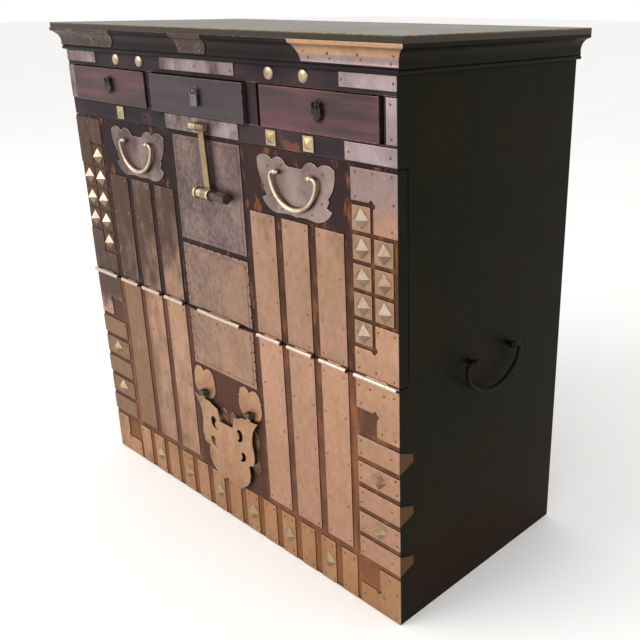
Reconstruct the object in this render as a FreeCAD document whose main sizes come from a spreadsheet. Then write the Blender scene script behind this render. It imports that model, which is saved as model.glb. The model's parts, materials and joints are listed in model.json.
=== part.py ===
import FreeCAD
import Part
import Sketcher
import os
import re

# Bandaji chest: a wooden case with a drop flap in the front, three drawers above it, and sheet brass
# fittings nailed all over the front. Millimetres, +Z up, origin in the middle of the base on the floor,
# front face towards -Y.

SIZES = {
    # Case and boards
    "body_width": 902,
    "body_depth": 433,
    "side_board": 24,
    "front_board": 20,
    "back_board": 12,
    "bottom_board": 20,
    "dust_board": 12,
    "top_board": 10,
    # Zones of the front, from the floor up
    "base_zone": 88.6,
    "lower_zone": 347,
    "flap_height": 329,
    "rail_height": 31,
    "drawer_opening": 65.5,
    "frieze_height": 67.4,
    # Clearances
    "flap_gap": 1.5,
    "hinge_gap": 1.5,
    "running_gap": 0.4,
    "pin_play": 0.05,
    "floor_gap": 1,
    # Cornice
    "cornice_height": 40,
    "overhang_front": 16,
    "overhang_side": 25,
    # Stiles between the drawers, as distances from the middle
    "stile_width": 24,
    "stile_left": 156.5,
    "stile_right": 138.5,
    # Sheet brass
    "sheet_brass": 1.6,
    "corner_width": 92,
    "corner_step": 45.5,
    "centre_width": 194,
    "strap_width": 63,
    "strap_foot": 13.4,
    "strap_head": 7,
    "plate_head": 4.5,
    "lock_plate_height": 188,
    "centre_seam": 10,
    "frieze_plate_height": 20,
    "frieze_plate_head": 1,
    "frieze_end_width": 110,
    "frame_centre_width": 212,
    "rail_plate_height": 26,
    "rail_end_width": 102,
    "stile_plate_width": 19,
    "stile_plate_height": 62,
    "cornice_plate_top": 226,
    "cornice_plate_slant": 18,
    "cornice_middle_width": 92,
    # Hinges
    "barrel_radius": 4,
    "hinge_pin_radius": 2,
    "hinge_clear": 0.4,
    "knuckle_gap": 0.4,
    "pin_overhang": 3,
    "centre_barrel": 128,
    # Corner fittings
    "corner_rise": 52,
    "leaf_rise": 47.4,
    "leaf_fall_outer": 96.6,
    "leaf_fall_inner": 56.6,
    "base_corner_foot": 41,
    "side_strap_height": 38,
    "tab_length": 29,
    "tab_fall": 12,
    "tab_tip": 15,
    "base_strap_width": 37.6,
    "base_end_gap": 9.4,
    "notch_radius": 4,
    "scallop_radius": 2.6,
    # Studs
    "stud_plate": 37.6,
    "stud_inset": 1.2,
    "stud_pitch": 45,
    "stud_side": 23,
    "stud_height": 11,
    "stud_tip": 1.2,
    "low_stud_height": 6,
    "low_stud_tip": 9,
    "low_stud_side": 25,
    "rail_stud_plate": 23.5,
    "rail_stud_side": 17,
    "rail_stud_height": 4.6,
    "rail_stud_inner": 181.5,
    "rail_stud_outer": 270,
    "dome_radius": 10.8,
    "dome_height": 4.8,
    "dome_inner": 184.6,
    "dome_outer": 264.5,
    # Bail handles of the flap
    "handle_plate_width": 183,
    "handle_plate_height": 91,
    "handle_plate_head": 10.1,
    "handle_shift": 6.2,
    "handle_drop": 33.7,
    "bail_half": 54,
    "bail_drop": 54.8,
    "bail_rod": 3,
    "post_reach": 7,
    "post_ball": 4.6,
    "post_stem": 3.2,
    # Bail handles of the sides
    "side_handle_z": 431,
    "side_bail_half": 71,
    "side_bail_drop": 63,
    "side_bail_rod": 4,
    "side_post_reach": 14,
    "side_post_ball": 6.5,
    "side_post_stem": 4.5,
    # Lock and hasp
    "lock_drop": 95.5,
    "lock_reach": 13,
    "lock_barrel_radius": 8.2,
    "lock_barrel_length": 42,
    "collar_radius": 10.3,
    "collar_width": 5,
    "collar_foot": 14,
    "bolt_rod_radius": 5.2,
    "bolt_head_radius": 9.6,
    "bolt_head_length": 26,
    "bolt_neck_radius": 7,
    "bolt_neck_length": 18,
    "bolt_inset": 4,
    "hasp_width": 16.5,
    "hasp_thickness": 4.6,
    "hasp_set_back": 4,
    "hasp_reach": 9.2,
    "hasp_pin_radius": 2.8,
    "hasp_offset": 11,
    "hasp_lean": 6,
    "hasp_gap": 0.6,
    "knuckle_length": 19,
    "knuckle_foot": 9,
    "knuckle_bead": 0.4,
    "bead_width": 2.6,
    "hook_clear": 0.5,
    "hook_wall": 3.2,
    "pin_head_radius": 6,
    "pin_head_width": 2.4,
    # Swinging drop plate
    "drop_width": 200,
    "drop_height": 172,
    "drop_foot": 1.4,
    "drop_reach": 8,
    "drop_sheet": 2,
    "eye_spacing": 144,
    "eye_pin_radius": 2,
    "eye_ring_radius": 5,
    "eye_ring_length": 12,
    "eye_neck": 15,
    "eye_lug": 3,
    "eye_lug_radius": 3.5,
    "ear_width": 70,
    "ear_height": 64,
    "ear_drop": 12,
    "ear_gap": 7,
    "back_plate_width": 188,
    "back_plate_height": 104,
    "back_plate_drop": 120,
    # Drawers
    "drawer_front": 18,
    "drawer_side": 10,
    "drawer_base": 6,
    "drawer_head_gap": 2,
    "drawer_back_gap": 15,
    "side_drop": 6,
    "drawer_clear": 2,
    "right_drawer_clear": 9,
    "left_proud": 4,
    "centre_proud": 9,
    "right_proud": 1.5,
    # Drawer pulls
    "pull_offset": 8,
    "pull_reach": 4.6,
    "pull_rise": 12,
    "pull_post_radius": 3.5,
    "pull_post_end": 2,
    "pull_pin_radius": 1.5,
    "pull_pin_end": 1,
    "pull_ear": 3,
    "pull_wall": 1.7,
    "pull_neck": 5.5,
    "pull_width": 18.5,
    "pull_sheet": 3,
    "pull_length": 25,
    "pull_spread": 21,
    "pull_tip_width": 4,
    "pull_plate_radius": 7,
    "pull_plate_sheet": 1,
}

doc = FreeCAD.newDocument("bandaji_chest")
sheet = doc.addObject("Spreadsheet::Sheet", "Sizes")
for row, (alias, value) in enumerate(SIZES.items(), start=1):
    sheet.set(f"A{row}", alias)
    sheet.set(f"B{row}", str(value))
    sheet.setAlias(f"B{row}", alias)
doc.recompute()

# Lines and faces that the pieces share
HALF = "(body_width / 2)"
INNER_HALF = "(body_width / 2 - side_board)"
FRONT = "(-body_depth / 2)"
BEHIND_FRONT = "(-body_depth / 2 + front_board)"
BACK_INSIDE = "(body_depth / 2 - back_board)"
INSIDE_DEPTH = "(body_depth - front_board - back_board)"
HINGE_Z = "(base_zone + lower_zone)"
FLAP_TOP = f"({HINGE_Z} + flap_height)"
RAIL_BOTTOM = f"({FLAP_TOP} + flap_gap)"
RAIL_TOP = f"({RAIL_BOTTOM} + rail_height)"
FRIEZE_BOTTOM = f"({RAIL_TOP} + drawer_opening)"
CASE_TOP = f"({FRIEZE_BOTTOM} + frieze_height)"
CORNER_IN = "(body_width / 2 - corner_width)"
CORNER_STEP = "(body_width / 2 - corner_width + corner_step)"
ON_BRASS = f"({FRONT} - sheet_brass)"
HINGE_Y = f"({FRONT} - barrel_radius - hinge_clear)"
LEAF_EDGE = "(barrel_radius + hinge_clear)"

ALONG_X = FreeCAD.Rotation(FreeCAD.Vector(0, 1, 0), 90)
OUTWARD = FreeCAD.Rotation(FreeCAD.Vector(1, 0, 0), 90)
INWARD = FreeCAD.Rotation(FreeCAD.Vector(1, 0, 0), -90)
HALF_TURN = FreeCAD.Rotation(FreeCAD.Vector(1, 0, 0), 180)
DIAMOND = FreeCAD.Rotation(FreeCAD.Vector(0, 1, 0), 45)
PLACE = {"x": "Placement.Base.x", "y": "Placement.Base.y", "z": "Placement.Base.z"}

nodes = {}


def in_sheet(formula):
    """The formula with every size that it names pointed at its cell."""
    return re.sub("[a-z_]+", lambda word: "Sizes." + word[0] if word[0] in SIZES else word[0], formula)


def bind(item, **formulas):
    """Tie properties of an item, or its place, to formulas of the sheet."""
    for name, formula in formulas.items():
        item.setExpression(PLACE.get(name, name), in_sheet(str(formula)))
    return item


def turned(kind, rotation=None):
    """A new primitive, turned about its own origin."""
    item = doc.addObject(kind, "piece")
    if rotation:
        item.Placement = FreeCAD.Placement(FreeCAD.Vector(), rotation)
    return item


def box(x, y, z, length, width, height):
    """A board or plate from its low corner, measured along X, Y and Z."""
    return bind(turned("Part::Box"), x=x, y=y, z=z, Length=length, Width=width, Height=height)


def front_plate(x, z, length, height):
    """A sheet of brass nailed to the front face, from its low corner."""
    return box(x, ON_BRASS, z, length, "sheet_brass", height)


def rod(x, y, z, radius, length):
    """A round bar along X from its left end."""
    return bind(turned("Part::Cylinder", ALONG_X), x=x, y=y, z=z, Radius=radius, Height=length)


def wedge(rotation=None, **formulas):
    """A block that tapers along its own Y, from one rectangle to another."""
    return bind(turned("Part::Wedge", rotation), **formulas)


def cut(base, tool):
    """The base with the tool taken out of it."""
    item = doc.addObject("Part::Cut", "cut")
    item.Base = base
    item.Tool = tool
    return item


def fuse(pieces):
    """One solid made of pieces that overlap or share faces."""
    item = doc.addObject("Part::MultiFuse", "joined")
    item.Shapes = pieces
    item.Refine = True
    return item


def common(pieces):
    """What all the pieces share."""
    item = doc.addObject("Part::MultiCommon", "shared")
    item.Shapes = pieces
    return item


def group(pieces):
    """Separate solids kept together."""
    item = doc.addObject("Part::Compound", "group")
    item.Links = pieces
    return item


def node(label, *pieces):
    """Name a sub-part; several pieces become one group of separate solids."""
    item = pieces[0] if len(pieces) == 1 else group(list(pieces))
    item.Label = label
    nodes[label] = item
    return item


def tube(x, y, z, radius, bore, length):
    """A round bar along X with a bore through it."""
    return cut(rod(x, y, z, radius, length), rod(f"{x} - 1", y, z, bore, f"{length} + 2"))


def span(side, inner, outer):
    """Low end and length of a stretch between two distances from the middle, on one side."""
    low = inner if side > 0 else f"(-{outer})"
    return low, f"({outer} - {inner})"


def trace(sketch, outline, wide, high, closed=True):
    """Draw lines and arcs through points given as shares of a width and a height.

    A pair is the end of a line; four numbers are a point that an arc passes and the arc's end.
    Every point is bound to the two sizes.
    """
    width = getattr(sheet, wide)
    height = getattr(sheet, high)
    rules = []
    formulas = {}

    def spot(pair):
        return FreeCAD.Vector(pair[0] * width, pair[1] * height, 0)

    def hold(geometry, end, pair):
        for kind, share, size, axis in (("DistanceX", pair[0], wide, -2), ("DistanceY", pair[1], high, -1)):
            if share == 0:
                rules.append(Sketcher.Constraint("PointOnObject", geometry, end, axis))
            else:
                formulas[len(rules)] = f"{share} * {size}"
                length = share * getattr(sheet, size)
                rules.append(Sketcher.Constraint(kind, -1, 1, geometry, end, length))

    ends = []
    start = outline[0]
    for step in outline[1:]:
        finish = step[-2:]
        if len(step) == 2:
            edge = sketch.addGeometry(Part.LineSegment(spot(start), spot(finish)), False)
        else:
            edge = sketch.addGeometry(Part.Arc(spot(start), spot(step[:2]), spot(finish)), False)
            middle = sketch.addGeometry(Part.Point(spot(step[:2])), True)
            hold(middle, 1, step[:2])
            rules.append(Sketcher.Constraint("PointOnObject", middle, 1, edge))
        away = [(sketch.getPoint(edge, end) - spot(start)).Length for end in (1, 2)]
        forward = away[0] < away[1]
        ends.append((edge, 1, 2) if forward else (edge, 2, 1))
        hold(edge, ends[-1][1], start)
        start = finish
    joins = zip(ends, ends[1:] + ends[:1]) if closed else zip(ends, ends[1:])
    for before, after in joins:
        rules.append(Sketcher.Constraint("Coincident", before[0], before[2], after[0], after[1]))
    if not closed:
        hold(ends[-1][0], ends[-1][2], start)
    first = sketch.ConstraintCount
    sketch.addConstraint(rules)
    for index, formula in formulas.items():
        sketch.setExpression(f"Constraints[{first + index}]", in_sheet(formula))


def whole(half):
    """A closed outline from its right half, drawn from the top middle to the bottom middle."""
    mirrored = []
    for before, step in zip(half, half[1:]):
        back = [-before[-2], before[-1]]
        mirrored.insert(0, tuple([-step[0], step[1]] + back) if len(step) == 4 else tuple(back))
    return list(half) + mirrored


def padded(plane, outlines, wide, high, length):
    """A body padded from outlines sketched on one of its own planes."""
    body = doc.addObject("PartDesign::Body", "body")
    sketch = body.newObject("Sketcher::SketchObject", "outline")
    sketch.AttachmentSupport = [(next(f for f in body.Origin.OriginFeatures if f.Role == plane), "")]
    sketch.MapMode = "FlatFace"
    for outline in outlines:
        trace(sketch, outline, wide, high)
    pad = body.newObject("PartDesign::Pad", "pad")
    pad.Profile = sketch
    bind(pad, Length=length)
    return body


def ornament(outlines, wide, high, x, z, y=FRONT, thickness="sheet_brass"):
    """A cut-out sheet that stands on the front face, from the middle of its foot."""
    return bind(padded("XZ_Plane", outlines, wide, high, thickness), x=x, y=y, z=z)


def round_cut(x, z, radius):
    """A punch for a round hole or notch through a sheet on the front face."""
    punch = turned("Part::Cylinder", OUTWARD)
    return bind(punch, x=x, y=f"{FRONT} + sheet_brass", z=z, Radius=radius, Height="3 * sheet_brass")


def pyramid(x, y, z, rotation=None, height="stud_height", tip="stud_tip", side="stud_side"):
    """A pyramid stud with a worn tip, pointing out of the front."""
    return wedge(
        rotation, x=x, y=y, z=z, Ymin=f"-{height}", Ymax=0,
        Xmin=f"-{tip} / 2", Xmax=f"{tip} / 2", Zmin=f"-{tip} / 2", Zmax=f"{tip} / 2",
        X2min=f"-{side} / 2", X2max=f"{side} / 2", Z2min=f"-{side} / 2", Z2max=f"{side} / 2",
    )


# Case boards
node("bottom_board", box(f"-{INNER_HALF}", BEHIND_FRONT, 0, f"2 * {INNER_HALF}", INSIDE_DEPTH, "bottom_board"))
node("back_panel", box(f"-{INNER_HALF}", BACK_INSIDE, 0, f"2 * {INNER_HALF}", "back_board", CASE_TOP))
for side, label in ((-1, "side_left"), (1, "side_right")):
    low, length = span(side, INNER_HALF, HALF)
    node(label, box(low, BEHIND_FRONT, 0, length, "body_depth - front_board", CASE_TOP))
node("lower_front", box(f"-{HALF}", FRONT, 0, "body_width", "front_board", f"{HINGE_Z} - hinge_gap"))
node("drawer_rail", box(f"-{HALF}", FRONT, RAIL_BOTTOM, "body_width", "front_board", "rail_height"))
node("frieze_rail", box(f"-{HALF}", FRONT, FRIEZE_BOTTOM, "body_width", "front_board", "frieze_height"))
node("dust_board", box(
    f"-{INNER_HALF}", BEHIND_FRONT, f"{RAIL_TOP} - dust_board",
    f"2 * {INNER_HALF}", INSIDE_DEPTH, "dust_board"))
node("top_board", box(
    f"-{HALF} - overhang_side", f"{FRONT} - overhang_front", CASE_TOP,
    "body_width + 2 * overhang_side", "body_depth + overhang_front", "top_board"))

# Stiles and partitions between the drawers
STILE_LOWS = (f"-{HALF}", "(-stile_left - stile_width / 2)", "(stile_right - stile_width / 2)", INNER_HALF)
STILE_WIDTHS = ("side_board", "stile_width", "stile_width", "side_board")
node("drawer_stiles", *[
    box(low, FRONT, RAIL_TOP, width, "front_board", "drawer_opening")
    for low, width in zip(STILE_LOWS, STILE_WIDTHS)])
node("drawer_partitions", *[
    box(low, BEHIND_FRONT, RAIL_TOP, "stile_width", INSIDE_DEPTH, "drawer_opening + frieze_height")
    for low in STILE_LOWS[1:3]])

# Cornice: a lower bead, a fillet, a cove and a top lip, mitred at the front corners.
# Shares of the overhang, outwards, and of the cornice's height, upwards.
CORNICE_FOOT = f"({CASE_TOP} - cornice_height)"
COVE_FOOT = 0.24
PROFILE = [
    (0, 0), (0.25, 0), (0.36, 0.08, 0.25, 0.16), (0.3, 0.18), (0.3, COVE_FOOT),
    (0.487, 0.69, 0.94, 0.86), (1, 0.86), (1, 1), (0, 1), (0, 0),
]
INWARDS = [tuple(-value if place % 2 == 0 else value for place, value in enumerate(step)) for step in PROFILE]


def front_moulding(x, y, length):
    """The front cornice's section run along X."""
    return bind(
        padded("YZ_Plane", [INWARDS], "overhang_front", "cornice_height", length), x=x, y=y, z=CORNICE_FOOT)


def front_plan(extra):
    """The front cornice's outline from above, with its mitres carried out past its edge."""
    outer = f"({HALF} + overhang_side * (overhang_front + {extra}) / overhang_front)"
    return wedge(
        y=FRONT, z=CORNICE_FOOT, Ymin=f"-overhang_front - {extra}", Ymax=0, Zmin=0, Z2min=0,
        Zmax="cornice_height", Z2max="cornice_height",
        Xmin=f"-{outer}", Xmax=outer, X2min=f"-{HALF}", X2max=HALF)


CORNICE_LENGTH = "(body_width + 2 * overhang_side)"
node("cornice_front", common([
    front_moulding(f"-{CORNICE_LENGTH} / 2", FRONT, CORNICE_LENGTH), front_plan("0")]))
for side, label, profile in ((-1, "cornice_left", INWARDS), (1, "cornice_right", PROFILE)):
    moulding = bind(
        padded("XZ_Plane", [profile], "overhang_side", "cornice_height", "body_depth + overhang_front"),
        x=f"{side} * {HALF}", y="body_depth / 2", z=CORNICE_FOOT)
    plan = wedge(
        FreeCAD.Rotation(FreeCAD.Vector(0, 0, 1), -90 * side),
        x=f"{side} * {HALF}", z=CORNICE_FOOT, Ymin=0, Ymax="overhang_side", Zmin=0, Z2min=0,
        Zmax="cornice_height", Z2max="cornice_height",
        Xmin="-body_depth / 2", Xmax="body_depth / 2",
        X2min="-body_depth / 2" if side > 0 else "-body_depth / 2 - overhang_front",
        X2max="body_depth / 2 + overhang_front" if side > 0 else "body_depth / 2")
    node(label, common([moulding, plan]))


# Brass on the cornice: sheets bent to the cove, with slanted ends, one in the middle and one at each corner
def cornice_plate(top_low, top_high, foot_low, foot_high):
    """A sheet that follows the cove between two slanted ends."""
    skin = cut(
        front_moulding(f"-{CORNICE_LENGTH}", ON_BRASS, f"2 * {CORNICE_LENGTH}"),
        front_moulding(f"-{CORNICE_LENGTH}", FRONT, f"2 * {CORNICE_LENGTH}"))
    trim = wedge(
        OUTWARD, y=f"{FRONT} - 2 * overhang_front", z=CORNICE_FOOT,
        Ymin=f"{COVE_FOOT} * cornice_height", Ymax="cornice_height",
        Zmin="-3 * overhang_front", Zmax=0, Z2min="-3 * overhang_front", Z2max=0,
        Xmin=foot_low, Xmax=foot_high, X2min=top_low, X2max=top_high)
    return common([skin, trim, front_plan("2 * sheet_brass")])


PLATE_END = f"({HALF} + overhang_side - cornice_plate_top)"
PLATE_FOOT = f"({PLATE_END} + cornice_plate_slant)"
MIDDLE_X = "((stile_right - stile_left) / 2)"
FAR_END = CORNICE_LENGTH
node(
    "cornice_plates",
    cornice_plate(f"-{FAR_END}", f"-{PLATE_END}", f"-{FAR_END}", f"-{PLATE_FOOT}"),
    cornice_plate(
        f"{MIDDLE_X} - cornice_middle_width / 2", f"{MIDDLE_X} + cornice_middle_width / 2",
        f"{MIDDLE_X} - cornice_middle_width / 2 + cornice_plate_slant / 2",
        f"{MIDDLE_X} + cornice_middle_width / 2 - cornice_plate_slant / 2"),
    cornice_plate(PLATE_END, FAR_END, PLATE_FOOT, FAR_END))

# Brass on the frame round the drawers. The plate at the left end of the rail is lost.
FRIEZE_PLATE_Z = f"({CORNICE_FOOT} - frieze_plate_head - frieze_plate_height)"
RAIL_PLATE_Z = f"({RAIL_BOTTOM} + (rail_height - rail_plate_height) / 2)"
STILE_PLATE_Z = f"({RAIL_TOP} + (drawer_opening - stile_plate_height) / 2)"
FRAME_CENTRE_LOW = f"({MIDDLE_X} - frame_centre_width / 2)"
frame_plates = [
    front_plate(FRAME_CENTRE_LOW, FRIEZE_PLATE_Z, "frame_centre_width", "frieze_plate_height"),
    front_plate(FRAME_CENTRE_LOW, RAIL_PLATE_Z, "frame_centre_width", "rail_plate_height"),
    front_plate(f"{HALF} - rail_end_width", RAIL_PLATE_Z, "rail_end_width", "rail_plate_height"),
]
for side in (-1, 1):
    low, length = span(side, f"({HALF} - frieze_end_width)", HALF)
    frame_plates.append(front_plate(low, FRIEZE_PLATE_Z, length, "frieze_plate_height"))
    low, length = span(side, f"({HALF} - stile_plate_width)", HALF)
    frame_plates.append(front_plate(low, STILE_PLATE_Z, length, "stile_plate_height"))
node("frame_plates", *frame_plates)

# Domed studs on the frieze and pyramid studs on the rail. One of the rail's studs is lost.
DOME_Z = f"({CORNICE_FOOT} - frieze_plate_head - dome_radius)"
RAIL_MIDDLE = f"({RAIL_BOTTOM} + rail_height / 2)"
domes = []
for x in ("-dome_outer", "-dome_inner", "dome_inner", "dome_outer"):
    dome = bind(
        turned("Part::Ellipsoid", OUTWARD), x=x, y=FRONT, z=DOME_Z,
        Radius1="dome_height", Radius2="dome_radius", Radius3="dome_radius")
    dome.Angle1 = 0
    domes.append(dome)
node("frieze_studs", *domes)
rail_studs = []
for x in ("-rail_stud_outer", "rail_stud_inner", "rail_stud_outer"):
    plate = front_plate(
        f"{x} - rail_stud_plate / 2", f"{RAIL_MIDDLE} - rail_stud_plate / 2",
        "rail_stud_plate", "rail_stud_plate")
    rail_studs.append(fuse([plate, pyramid(
        x, ON_BRASS, RAIL_MIDDLE, None, "rail_stud_height", "stud_tip", "rail_stud_side")]))
node("rail_studs", *rail_studs)

# Hinges: on each, the flap's leaf carries the middle knuckle and the lower leaf the two outer ones
FLAP_KNUCKLES = ((0.25, 0.5),)
CASE_KNUCKLES = ((0, 0.25), (0.75, 0.25))


def leaf(plates, barrel_low, barrel_length, rising):
    """A hinge leaf: its plates, and each knuckle with the strip that turns into it."""
    pieces = list(plates)
    for start, share in FLAP_KNUCKLES if rising else CASE_KNUCKLES:
        x = f"({barrel_low} + {start} * {barrel_length} + knuckle_gap / 2)"
        length = f"({share} * {barrel_length} - knuckle_gap)"
        bore = "hinge_pin_radius + pin_play"
        pieces.append(tube(x, HINGE_Y, HINGE_Z, "barrel_radius", bore, length))
        foot = HINGE_Z if rising else f"({HINGE_Z} - {LEAF_EDGE})"
        pieces.append(front_plate(x, foot, length, LEAF_EDGE))
    return fuse(pieces)


def hinge_pin(barrel_low, barrel_length):
    """The pin of one hinge, a little longer than its barrel."""
    return rod(
        f"{barrel_low} - pin_overhang", HINGE_Y, HINGE_Z, "hinge_pin_radius",
        f"{barrel_length} + 2 * pin_overhang")


LEAF_LOW = f"({HINGE_Z} + {LEAF_EDGE})"
LEAF_HIGH = f"({HINGE_Z} - {LEAF_EDGE})"
STRAP_GAP = f"(({CORNER_IN} - centre_width / 2 - 3 * strap_width) / 4)"
STRAP_LOWS = [f"(centre_width / 2 + {STRAP_GAP} + {i} * (strap_width + {STRAP_GAP}))" for i in range(3)]
STRAP_TOP = f"({FLAP_TOP} - handle_plate_head - handle_plate_height - strap_head)"
STRAP_FOOT = "(base_zone + strap_foot)"
flap_straps = []
lower_straps = []
hinge_pins = []
for side in (-1, 1):
    for inner in STRAP_LOWS:
        low, length = span(side, inner, f"({inner} + strap_width)")
        upper = front_plate(low, LEAF_LOW, length, f"{STRAP_TOP} - {LEAF_LOW}")
        lower = front_plate(low, STRAP_FOOT, length, f"{LEAF_HIGH} - {STRAP_FOOT}")
        flap_straps.append(leaf([upper], low, "strap_width", True))
        lower_straps.append(leaf([lower], low, "strap_width", False))
        hinge_pins.append(hinge_pin(low, "strap_width"))
node("flap_straps", *flap_straps)
node("lower_straps", *lower_straps)

# Centre hinge and lock plate. The lower leaf ends above the ears of the drop plate.
DROP_Z = "(base_zone + drop_foot + drop_height)"
CENTRE_LOW = "(-centre_width / 2)"
LOCK_PLATE_Z = f"({FLAP_TOP} - plate_head - lock_plate_height)"
CENTRE_LEAF_TOP = f"({LOCK_PLATE_Z} - centre_seam)"
CENTRE_LEAF_FOOT = f"({DROP_Z} - ear_drop + ear_height + ear_gap)"
BARREL_LOW = "(-centre_barrel / 2)"
node("lock_plate", front_plate(CENTRE_LOW, LOCK_PLATE_Z, "centre_width", "lock_plate_height"))
flap_centre = leaf(
    [front_plate(CENTRE_LOW, LEAF_LOW, "centre_width", f"{CENTRE_LEAF_TOP} - {LEAF_LOW}")],
    BARREL_LOW, "centre_barrel", True)
lower_centre = leaf(
    [front_plate(CENTRE_LOW, CENTRE_LEAF_FOOT, "centre_width", f"{LEAF_HIGH} - {CENTRE_LEAF_FOOT}")],
    BARREL_LOW, "centre_barrel", False)

# The centre leaves have small scallops along their free edges
HEAD_SCALLOPS = 7
SIDE_SCALLOPS = 5


def scallops(low, high):
    """Punches along both side edges of a centre leaf, evenly spaced between two heights."""
    steps = [f"{low} + ({high} - {low}) * {i} / {SIDE_SCALLOPS + 1}" for i in range(1, SIDE_SCALLOPS + 1)]
    return [round_cut(f"{side} * centre_width / 2", z, "scallop_radius") for side in (-1, 1) for z in steps]


head_scallops = [
    round_cut(f"{CENTRE_LOW} + centre_width * {i} / {HEAD_SCALLOPS + 1}", CENTRE_LEAF_TOP, "scallop_radius")
    for i in range(1, HEAD_SCALLOPS + 1)]
node("flap_centre_leaf", cut(flap_centre, group(head_scallops + scallops(LEAF_LOW, CENTRE_LEAF_TOP))))
node("lower_centre_leaf", cut(lower_centre, group(scallops(CENTRE_LEAF_FOOT, LEAF_HIGH))))
hinge_pins.append(hinge_pin(BARREL_LOW, "centre_barrel"))

# Corner fittings of the flap: L-shaped plates above and below five rows of square stud plates
ROWS = 5
PLATE_FLOOR = f"({HINGE_Z} + leaf_rise)"
LEAF_FOOT = f"({HINGE_Z} - leaf_fall_inner)"
PLATE_CEILING = f"({FLAP_TOP} - corner_rise)"
ROW_GAP = f"(({PLATE_CEILING} - {PLATE_FLOOR} - {ROWS} * stud_plate) / {ROWS + 1})"
ROW_LOWS = [f"({PLATE_FLOOR} + {ROW_GAP} + {i} * (stud_plate + {ROW_GAP}))" for i in range(ROWS)]
FIRST_ROW_TOP = f"({ROW_LOWS[0]} + stud_plate)"
COLUMN_IN = f"({CORNER_IN} + stud_inset)"
COLUMN_OUT = f"({COLUMN_IN} + stud_pitch)"


def notched(plate, side, z, missing):
    """An L-shaped plate with two round lobes cut at its inside corner.

    missing is -1 where the L is open below the corner and 1 where it is open above.
    """
    return cut(plate, group([
        round_cut(f"{side} * ({CORNER_STEP} - notch_radius)", z, "notch_radius"),
        round_cut(f"{side} * {CORNER_STEP}", f"{z} + {missing} * notch_radius", "notch_radius")]))


corner_plates = []
flap_corner_leaves = []
lower_corner_leaves = []
stud_plates = []
flap_studs = []
for side in (-1, 1):
    low, length = span(side, CORNER_IN, HALF)
    step_low, step_length = span(side, CORNER_STEP, HALF)
    upper = fuse([
        front_plate(low, PLATE_CEILING, length, "corner_rise - plate_head"),
        front_plate(step_low, ROW_LOWS[-1], step_length, f"{PLATE_CEILING} - {ROW_LOWS[-1]}")])
    rising = leaf([
        front_plate(low, LEAF_LOW, length, f"{PLATE_FLOOR} - {LEAF_LOW}"),
        front_plate(step_low, PLATE_FLOOR, step_length, f"{FIRST_ROW_TOP} - {PLATE_FLOOR}")],
        low, "corner_width", True)
    falling = leaf([
        front_plate(low, LEAF_FOOT, length, f"leaf_fall_inner - {LEAF_EDGE}"),
        front_plate(
            step_low, f"{HINGE_Z} - leaf_fall_outer", step_length, "leaf_fall_outer - leaf_fall_inner")],
        low, "corner_width", False)
    corner_plates.append(notched(upper, side, PLATE_CEILING, -1))
    flap_corner_leaves.append(notched(rising, side, PLATE_FLOOR, 1))
    lower_corner_leaves.append(notched(falling, side, LEAF_FOOT, -1))
    hinge_pins.append(hinge_pin(low, "corner_width"))
    for column, rows in ((COLUMN_IN, ROW_LOWS), (COLUMN_OUT, ROW_LOWS[1:-1])):
        for z in rows:
            plate_low, plate_length = span(side, column, f"({column} + stud_plate)")
            stud_plates.append(front_plate(plate_low, z, plate_length, "stud_plate"))
            flap_studs.append(pyramid(
                f"{side} * ({column} + stud_plate / 2)", ON_BRASS, f"{z} + stud_plate / 2", DIAMOND))
node("flap_corner_plates", *corner_plates)
node("flap_corner_leaves", *flap_corner_leaves)
node("lower_corner_leaves", *lower_corner_leaves)
node("flap_stud_plates", *stud_plates)
node("flap_studs", *flap_studs)
node("hinge_pins", *hinge_pins)

# Flap board, clear of the side boards' front edges behind it
node("flap_board", box(
    f"-{HALF}", FRONT, f"{HINGE_Z} + hinge_gap",
    "body_width", "front_board - running_gap", "flap_height - hinge_gap"))

# Side straps on the lower front: every other one turns the corner as a tapering tab, the rest carry a stud
SIDE_STRAPS = 5
SIDE_STRAP_ZONE = f"({HINGE_Z} - leaf_fall_outer - base_zone)"
SIDE_STRAP_GAP = f"(({SIDE_STRAP_ZONE} - {SIDE_STRAPS} * side_strap_height) / {SIDE_STRAPS + 1})"
side_straps = []
LOW_STUD = ("low_stud_height", "low_stud_tip", "low_stud_side")
lower_studs = []
for side in (-1, 1):
    low, length = span(side, CORNER_IN, HALF)
    wrap_low, wrap_length = span(side, CORNER_IN, f"({HALF} + sheet_brass)")
    for i in range(SIDE_STRAPS):
        z = f"(base_zone + {SIDE_STRAP_GAP} + {i} * (side_strap_height + {SIDE_STRAP_GAP}))"
        if i % 2:
            side_straps.append(front_plate(low, z, length, "side_strap_height"))
            lower_studs.append(pyramid(
                f"{side} * ({HALF} - corner_width / 2)", ON_BRASS, f"{z} + side_strap_height / 2",
                DIAMOND, *LOW_STUD))
        else:
            tab_low, tab_width = span(side, HALF, f"({HALF} + sheet_brass)")
            tab = wedge(
                x=tab_low, y=ON_BRASS, z=z, Ymin=0, Ymax="tab_length + sheet_brass",
                Xmin=0, X2min=0, Xmax=tab_width, X2max=tab_width,
                Zmin=0, Z2min="side_strap_height - tab_fall - tab_tip",
                Zmax="side_strap_height", Z2max="side_strap_height - tab_fall")
            side_straps.append(fuse([front_plate(wrap_low, z, wrap_length, "side_strap_height"), tab]))
node("side_straps", *side_straps)

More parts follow.
